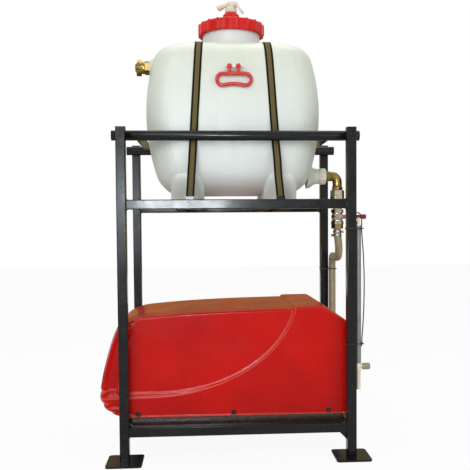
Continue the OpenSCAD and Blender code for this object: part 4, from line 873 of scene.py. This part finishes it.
def make_elbow():
    """Cast brass elbow: tight bend, hexagonal collars, a bead at each end and the mould's seam."""
    low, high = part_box("outlet_elbow")
    x0, x1 = low.x / MM, LINE_X
    z0, z1, y, bend = low.z / MM, high.z / MM - 26.0, (low.y + high.y) / 2 / MM, 25.0
    path = [Vector((x0 + (x1 - bend - x0) * k / 40, y, z1)) for k in range(40)]
    path += arc(Vector((x1 - bend, y, z1 - bend)), Vector((0, 0, bend)), Vector((bend, 0, 0)), pi / 2, 18)
    path += [Vector((x1, y, z1 - bend + (z0 - z1 + bend) * k / 24)) for k in range(1, 25)]
    lengths = [0.0]
    for a, b in zip(path, path[1:]):
        lengths.append(lengths[-1] + (b - a).length)
    total = lengths[-1]

    def radius(i, s):
        collar_a, collar_b = s - (418 - x0), total - s
        r = 21.0
        if 0 <= collar_a <= 15:
            r = 25.6 - 1.2 * bell(collar_a, 2.0) - 1.2 * bell(collar_a - 15, 2.0)
        elif collar_b <= 16:
            r = 26.0 - 1.2 * bell(collar_b, 2.0) - 1.2 * bell(collar_b - 16, 2.0)
        return r + 1.4 * bell(collar_a - 18, 2.0) + 1.2 * bell(collar_b - 20, 2.0)

    def wave(s, a):
        collar_a, collar_b = s - (418 - x0), total - s
        flat = hexagon(1.0, a) - 1.0
        seam = 0.7 * (bell(sin(a), 0.09)) if collar_a > 16 and collar_b > 18 else 0.0
        return (26.0 * flat if 0 <= collar_a <= 15 or collar_b <= 16 else 0.0) + seam
    Build().tube(path, radius, 48, wave).done("elbow_casting", "stand", "brass", ["outlet_elbow"], sharp=38)


def make_welds():
    """Fillet welds where the frame's square tubes meet its posts and rails."""
    build = Build()
    seats = [((sx * 460.0, sy * 330.0, z), (-sx, 0, 0)) for sx, sy in QUARTERS for z in (130.0, 1080.0)]
    seats += [((sx * 480.0, sy * 310.0, 130.0), (0, -sy, 0)) for sx, sy in QUARTERS]
    for number, (place, away) in enumerate(seats):
        place, away = Vector(place), Vector(away)
        side = away.cross(Vector((0, 0, 1)))
        outline = rounded_rect(20.6, 20.6, 2.0, 3, 24, 24)
        rings = []
        for k, (u, v) in enumerate(outline):
            middle = place + side * u + Vector((0, 0, v)) + away * 0.6
            out = (side * u + Vector((0, 0, v))).normalized()
            size = 2.7 + 0.5 * sin(k * 1.9 + number) + 0.5 * noise.noise(Vector((k * 0.4, number * 7.0, 0)))
            rings.append([middle + (out * cos(a) + away * sin(a)) * size
                          for a in turns(10)])
        rings.append(rings[0])
        build.rings(rings)
    build.done("weld_beads", "stand", "frame_paint", sharp=60)


def make_valve_lever():
    """A pressed steel lever on the valve's stem, its grip dipped in a thick sleeve."""
    low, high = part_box("valve_lever")
    x0, z0 = LINE_X, (low.z + high.z) / 2 / MM
    y = high.y / MM
    plate = Build()
    rim = [(x0 + 14 * cos(a), z0 + 14 * sin(a))
           for a in [radians(38 + 284 * k / 40) for k in range(41)]]
    rim += [(x0 + 40, z0 - 6.5), (x0 + 40, z0 + 6.5)]
    plate.rings([[(x, y - d, z) for x, z in [(x0 + 8 + (px - x0 - 8) * f, z0 + (pz - z0) * f) for px, pz in rim]]
                 for d, f in ((0.0, 0.97), (0.5, 1.0), (3.1, 1.0), (3.6, 0.97))], caps=2,
                flip=True)
    nut = [(0.0, 3.4), (11.0, 3.4), (11.0, 9.2), (9.8, 10.6), (6.0, 10.6), (5.6, 13.4), (0.0, 13.4)]
    plate.lathe(nut, (x0, y, z0), "Y", 48, lambda r, h, a: (hexagon(r, a) if r > 9 else r, h), sign=-1)
    plate.done("lever_plate", "valve_lever", "zinc", ["valve_lever"], sharp=35)
    sleeve = []
    reach = high.x / MM - x0
    for k in range(61):
        s = 15 + (reach - 15) * k / 60
        end = min(1.0, max(0.0, (reach - s) / 6.0))
        start = min(1.0, (s - 15) / 3.0 + 0.6)
        size = sqrt(max(0.02, 1 - (1 - end) ** 2)) * sqrt(min(1.0, start))
        tall = 9.4 - 1.3 * bell(s - 62, 22) + 1.6 * step_up(s, 95, 118)
        sleeve.append([(x0 + s, y - 2.2 + 5.2 * size * sin(a), z0 + tall * size * cos(a))
                       for a in turns(36)])
    Build().rings(sleeve, caps=2).done(
        "lever_sleeve", "valve_lever", "lever_red", sharp=50)


make_elbow()
make_valve_lever()
make_welds()


# ---- hood

HOOD_Z0, HOOD_Z1, HOOD_RIGHT, NOSE = 177.0, 645.0, 470.0, -600.0
HALF_PROUD, HALF_CORE, HOOD_WALL, ROUNDING = 290.0, 282.0, 0.004, 130
# Height, depth and half height of the notches between the nose's lobes
NOTCHES, LIP_Z = ((277, 9, 8), (228, 10, 8), (198, 8, 6)), 180


def hood_outline(n, t, wide, crown, top, right):
    """Nose and top of the hood in XZ, from its lower left corner to its chamfer."""
    z = HOOD_Z0
    return [(-505 + n, z), (NOSE + 45 + n, z + 14), (NOSE + 12 + n, z + 42), (NOSE + n, z + 82),
            (NOSE + n + wide, z + 150), (NOSE + 16 + n + wide, z + 220), (NOSE + 40 + n + wide, z + 305),
            (NOSE + 66 + n + wide, z + 370), (NOSE + 95 + n + wide, z + 405 - t), (-440, z + 425 - t),
            (-330, z + 437 - t), (-160, z + 448 + crown - t), (80, z + 456 + crown - t),
            (375 - t, top - t), (right, top - 65 - 0.7 * t), (right, z)]


def sample(points, count):
    """count + 1 points spaced evenly along a polyline."""
    lengths = [0.0]
    for a, b in zip(points, points[1:]):
        lengths.append(lengths[-1] + dist(a, b))
    out, i = [], 0
    for k in range(count + 1):
        want = lengths[-1] * k / count
        while i < len(points) - 2 and lengths[i + 1] < want:
            i += 1
        t = (want - lengths[i]) / max(1e-9, lengths[i + 1] - lengths[i])
        out.append(lerp(points[i], points[i + 1], min(1.0, max(0.0, t))))
    return out


def spline(points, step=4.0):
    return [(p.x, p.y) for p in smooth_path([(x, z, 0.0) for x, z in points], step)]


def soften(points, radius):
    """Rounds every inner corner of a polyline with two cuts per corner, repeated."""
    for _ in range(3):
        out = [points[0]]
        for a, b in zip(points, points[1:]):
            cut = min(0.25, radius / max(dist(a, b), 1e-6))
            out += [lerp(a, b, cut), lerp(b, a, cut)]
        points = out + [points[-1]]
        radius *= 0.5
    return points


N_SIDE, N_TOP = 150, 330


def inset_at(s):
    """How far nose, top and right side draw in at a distance s inside the face."""
    def curve(size, depth, power):
        if s >= depth:
            return 0.0
        return size * (1 - (1 - (1 - s / depth) ** power) ** (1 / power))
    return curve(48, ROUNDING, 2.3), curve(14, ROUNDING, 3.0), curve(9, 9, 2.0)


def hood_edge(s, proud):
    """The hood's outline at a distance s inside its face, as nose, top and right runs."""
    n, t, r = inset_at(s)
    wide, crown, top = (0.0, 9.0, HOOD_Z1) if proud else (8.0, 0.0, HOOD_Z1 - 8)
    p = hood_outline(n, t, wide, crown, top, HOOD_RIGHT - r)
    nose = sample(spline(p[:10]), 4000)
    cut = min(range(len(nose)), key=lambda i: (nose[i][0] - p[8][0]) ** 2 + (nose[i][1] - p[8][1]) ** 2)
    left = sample(nose[:cut + 1], N_SIDE)
    top_run = sorted({q for q in nose[cut:] + spline(p[8:14]) if q[0] >= nose[cut][0]})
    top_run = soften([q for q in top_run if q[0] < p[13][0] - 12] + [p[13], p[14]], 10)
    over = sample(top_run, N_TOP)
    right = sample([p[15], p[14]], N_SIDE)
    return left, over, right


def swoosh(x, z):
    """Signed distance below the styled line: positive on the proud side."""
    if x < -350:
        return 280.0 - z
    u, v = (x + 350) / 600.0, (z - 700) / 420.0
    f = u * u + v * v - 1
    slope = 2 * hypot(u / 600.0, v / 420.0)
    return f / max(slope, 1e-6)


def crease_gap(x):
    """The distance between the two creases of the styled line."""
    return 4 + 15 * (1 - step_up(x, -600, 120))


def proud_share(x, z):
    """How much of the proud surface shows: it rises in two steps, one at each crease."""
    d = swoosh(x, z)
    return 0.5 * step_up(d, -3.5, 3.5) + 0.5 * step_up(d - crease_gap(x), -3.5, 3.5)


NOSE_EDGE = sorted((z, x) for x, z in hood_edge(0.0, True)[0])


def nose_x(z):
    """The nose's outline at height z."""
    for (z0, x0), (z1, x1) in zip(NOSE_EDGE, NOSE_EDGE[1:]):
        if z <= z1:
            return x0 + (x1 - x0) * max(0.0, (z - z0) / max(1e-6, z1 - z0))
    return NOSE_EDGE[-1][1]


def moulded(x, y, z):
    """Adds the small forms: the nose's three lobes and its seam, beads and the lower lip."""
    inside = x - nose_x(z)
    fade = 1 - step_up(inside, 24, 96)
    notch = sum(deep * bell(z - height, tall) for height, deep, tall in NOTCHES)
    relief = -0.5 * notch * fade
    upright = step_up(z, 286, 306) * (1 - step_up(z, 500, 560))
    relief -= 3.4 * (1 - step_up(inside, 37, 44)) * upright
    relief += 1.3 * bell(inside - 46, 3.6) * upright
    line = swoosh(x, z)
    relief += 1.5 * bell(line, 4.0) + 1.5 * bell(line - crease_gap(x), 4.0)
    relief += 2.4 * bell(z - LIP_Z, 3.6)
    side = max(-1.0, min(1.0, y / 200.0))
    return x + notch * fade, y + relief * side, z


def merge(core, proud):
    """The set-back and the proud surface, joined along the styled line."""
    w = proud_share(proud[0], proud[2])
    return moulded(*[c + (p - c) * w for c, p in zip(core, proud)])


def face_grid(edges, y):
    """A grid of points over the face inside the outline."""
    left, over, right = edges
    low_l, low_r, top_l, top_r = left[0], right[0], left[-1], right[-1]
    floor = [(low_l[0] + (low_r[0] - low_l[0]) * k / N_TOP, HOOD_Z0) for k in range(N_TOP + 1)]
    rows = []
    for j in range(N_SIDE + 1):
        b = j / N_SIDE
        row = []
        for i in range(N_TOP + 1):
            a = i / N_TOP
            row.append(tuple(
                (1 - b) * floor[i][c] + b * over[i][c] + (1 - a) * left[j][c] + a * right[j][c]
                - ((1 - a) * (1 - b) * low_l[c] + a * (1 - b) * low_r[c] + (1 - a) * b * top_l[c]
                   + a * b * top_r[c]) for c in (0, 1)))
        rows.append([(x, y, z) for x, z in row])
    return rows


def make_hood():
    build = Build()
    core0, proud0 = hood_edge(0.0, False), hood_edge(0.0, True)
    depths = sorted({0.0, 0.5, 1.2, 2.4, 4.0, 6.0, 9.0}
                    | {ROUNDING * (1 - max(0.0, cos(pi / 2 * k / 26)) ** 0.87) for k in range(1, 27)})
    depths = [d for i, d in enumerate(depths) if i == 0 or d - depths[i - 1] > 0.2]
    depths += [d for d in range(145, 276, 14)]
    slices = []
    for s in depths:
        loops = []
        for proud, half in ((False, HALF_CORE), (True, HALF_PROUD)):
            left, over, right = hood_edge(s, proud)
            loop = left + over[1:] + right[::-1][1:]
            depth = half - s * half / HALF_PROUD if s > ROUNDING else half - s
            loops.append([(x, depth, z) for x, z in loop])
        slices.append([merge(c, p) for c, p in zip(*loops)])
    middle = [[(x, 0.0, z) for x, _, z in slices[-1]]]
    build.rings([[(x, -y, z) for x, y, z in ring] for ring in slices] + middle + slices[::-1], close=False)
    for sign in (-1, 1):
        core, proud = face_grid(core0, sign * HALF_CORE), face_grid(proud0, sign * HALF_PROUD)
        rows = [[merge(c, p) for c, p in zip(cr, pr)] for cr, pr in zip(core, proud)]
        build.rings(rows, close=False, flip=sign > 0)
    hood = build.done("hood_shell", "stand", "hood_red", ["hood"])
    wall = hood.modifiers.new("wall", "SOLIDIFY")
    wall.thickness, wall.offset = HOOD_WALL, -1.0


make_hood()


# ---- carried-over CAD nodes

SOFT_EDGE = {"frame_paint": 0.6, "zinc": 0.5, "brass": 0.8, "nickel": 0.8, "white_plastic": 0.8,
             "cream_plastic": 0.6, "tan_plastic": 0.8, "lever_red": 0.6, "black_plastic": 0.5,
             "handle_plastic": 0.8}


# Painted reflection: the black base pan is tinted brownish red, for the red hood mirrored in it.
plastic("pan_painted_red_reflection", (54, 32, 27), 0.26, 0.25, gloss=0.5)
plastic("bearer_paint", (22, 19, 19), rough=0.6, gloss=0.04)
SPECIAL = {"base_pan": "pan_painted_red_reflection", "handle_bracket": "tank_plastic", "tank_bearers": "bearer_paint"}


def dress_cad():
    for name, node in CAD.items():
        slot = SLOT_OF[name]
        node.data.materials.clear()
        node.data.materials.append(MATERIALS[SPECIAL.get(name, slot)])
        if node.hide_render:
            continue
        node.modifiers.new("weld", "WELD").merge_threshold = WELD_GAP
        width = SOFT_EDGE.get(slot)
        if width:
            bevel = node.modifiers.new("soft edge", "BEVEL")
            bevel.width, bevel.segments, bevel.harden_normals = width * MM, 2, True
            bevel.limit_method, bevel.angle_limit = "ANGLE", radians(40)


dress_cad()


# ---- stage and light

def plain_material(name):
    """An empty material, with its tree, its surface socket and a white glow."""
    material = bpy.data.materials.new(name)
    material.use_nodes = True
    tree = Tree(material.node_tree)
    tree.nodes.clear()
    return material, tree, tree.node("OutputMaterial").inputs["Surface"], tree.node("Emission", Color=WHITE)


def card(name, corners, material):
    """A flat four-cornered sheet that belongs to the stage."""
    mesh = bpy.data.meshes.new(name)
    mesh.from_pydata(corners, [], [(0, 1, 2, 3)])
    obj = place_object(name, mesh)
    mesh.materials.append(material)
    return obj


def make_floor():
    """Takes the object's shadow, and shows nearly white to the camera and in reflections."""
    size, whiten = 14.0, 0.93
    material, tree, surface, glow = plain_material("floor_white")
    paint = tree.node("BsdfDiffuse", Color=(0.9, 0.9, 0.9, 1.0))
    share = tree.math("MULTIPLY", tree.seen_straight(), whiten)
    mix = tree.node("MixShader")
    for socket, output in zip(mix.inputs, (share, paint.outputs[0], glow.outputs[0])):
        tree.link(output, socket)
    tree.link(mix.outputs[0], surface)
    card("floor", [(-size, -size, 0), (size, -size, 0), (size, size, 0), (-size, size, 0)], material)


def make_world():
    """White where it is seen, weaker where it lights the object."""
    world = bpy.data.worlds.new("studio")
    world.use_nodes = True
    scene.world = world
    tree = Tree(world.node_tree)
    back = tree.nodes["Background"]
    back.inputs["Color"].default_value = WHITE
    tree.link(tree.ramp(tree.seen_straight(), a=0.55), back.inputs["Strength"])


def area_light(name, place, target, size, power):
    data = bpy.data.lights.new(name, "AREA")
    data.shape, data.size, data.size_y, data.energy = "RECTANGLE", size[0], size[1], power
    light = place_object(name, data)
    light.location = place
    light.rotation_euler = (Vector(target) - Vector(place)).to_track_quat("-Z", "Y").to_euler()
    return light


def glint(name, place, target, size, power, colour):
    """A window seen only as a reflection: it adds no light of its own to the object."""
    light = area_light(name, place, target, size, power)
    light.data.color = colour
    light.visible_diffuse = light.visible_transmission = light.visible_volume_scatter = False


def dark_card(name, corners, colour):
    """A studio flag, seen only in reflections."""
    material, tree, surface, glow = plain_material(name)
    glow.inputs["Color"].default_value = linear(colour)
    tree.link(glow.outputs[0], surface)
    obj = card(name, corners, material)
    obj.visible_camera = obj.visible_diffuse = obj.visible_transmission = False
    obj.visible_shadow = obj.visible_volume_scatter = False


make_floor()
make_world()
area_light("key", (-1.4, -3.9, 3.0), (0.0, 0.0, 1.0), (2.0, 2.0), 72.0)
area_light("fill", (2.6, -3.2, 2.0), (0.0, 0.0, 0.9), (2.0, 2.4), 20.0)
area_light("top", (0.0, 0.6, 4.4), (0.0, 0.0, 1.0), (2.6, 2.0), 40.0)
glint("rail_glint", (-0.34, -3.42, 1.235), (-0.3, -0.35, 1.15), (0.76, 0.2), 62.0, (0.88, 0.96, 1.0))
glint("post_glint", (-0.92, -3.4, 1.15), (-0.5, -0.35, 1.05), (0.5, 0.9), 7.0, (0.75, 0.88, 1.0))
for name, (x0, y0), (x1, y1), z0, z1, colour in (
        ("back_wall", (-3.0, 3.2), (3.0, 3.2), 0.55, 2.4, (165, 152, 95)),
        ("left_wall", (-3.2, -2.6), (-3.2, 3.0), 0.0, 2.2, (72, 58, 44)),
        ("right_wall", (3.2, -2.6), (3.2, 3.0), 0.0, 2.2, (72, 58, 44))):
    dark_card(name, [(x0, y0, z0), (x1, y1, z0), (x1, y1, z1), (x0, y0, z1)], colour)
dark_card("rug_behind", [(-2.6, 0.45, 0.01), (2.6, 0.45, 0.01), (2.6, 3.1, 0.01), (-2.6, 3.1, 0.01)], (92, 62, 40))
scene.view_settings.view_transform = "Standard"
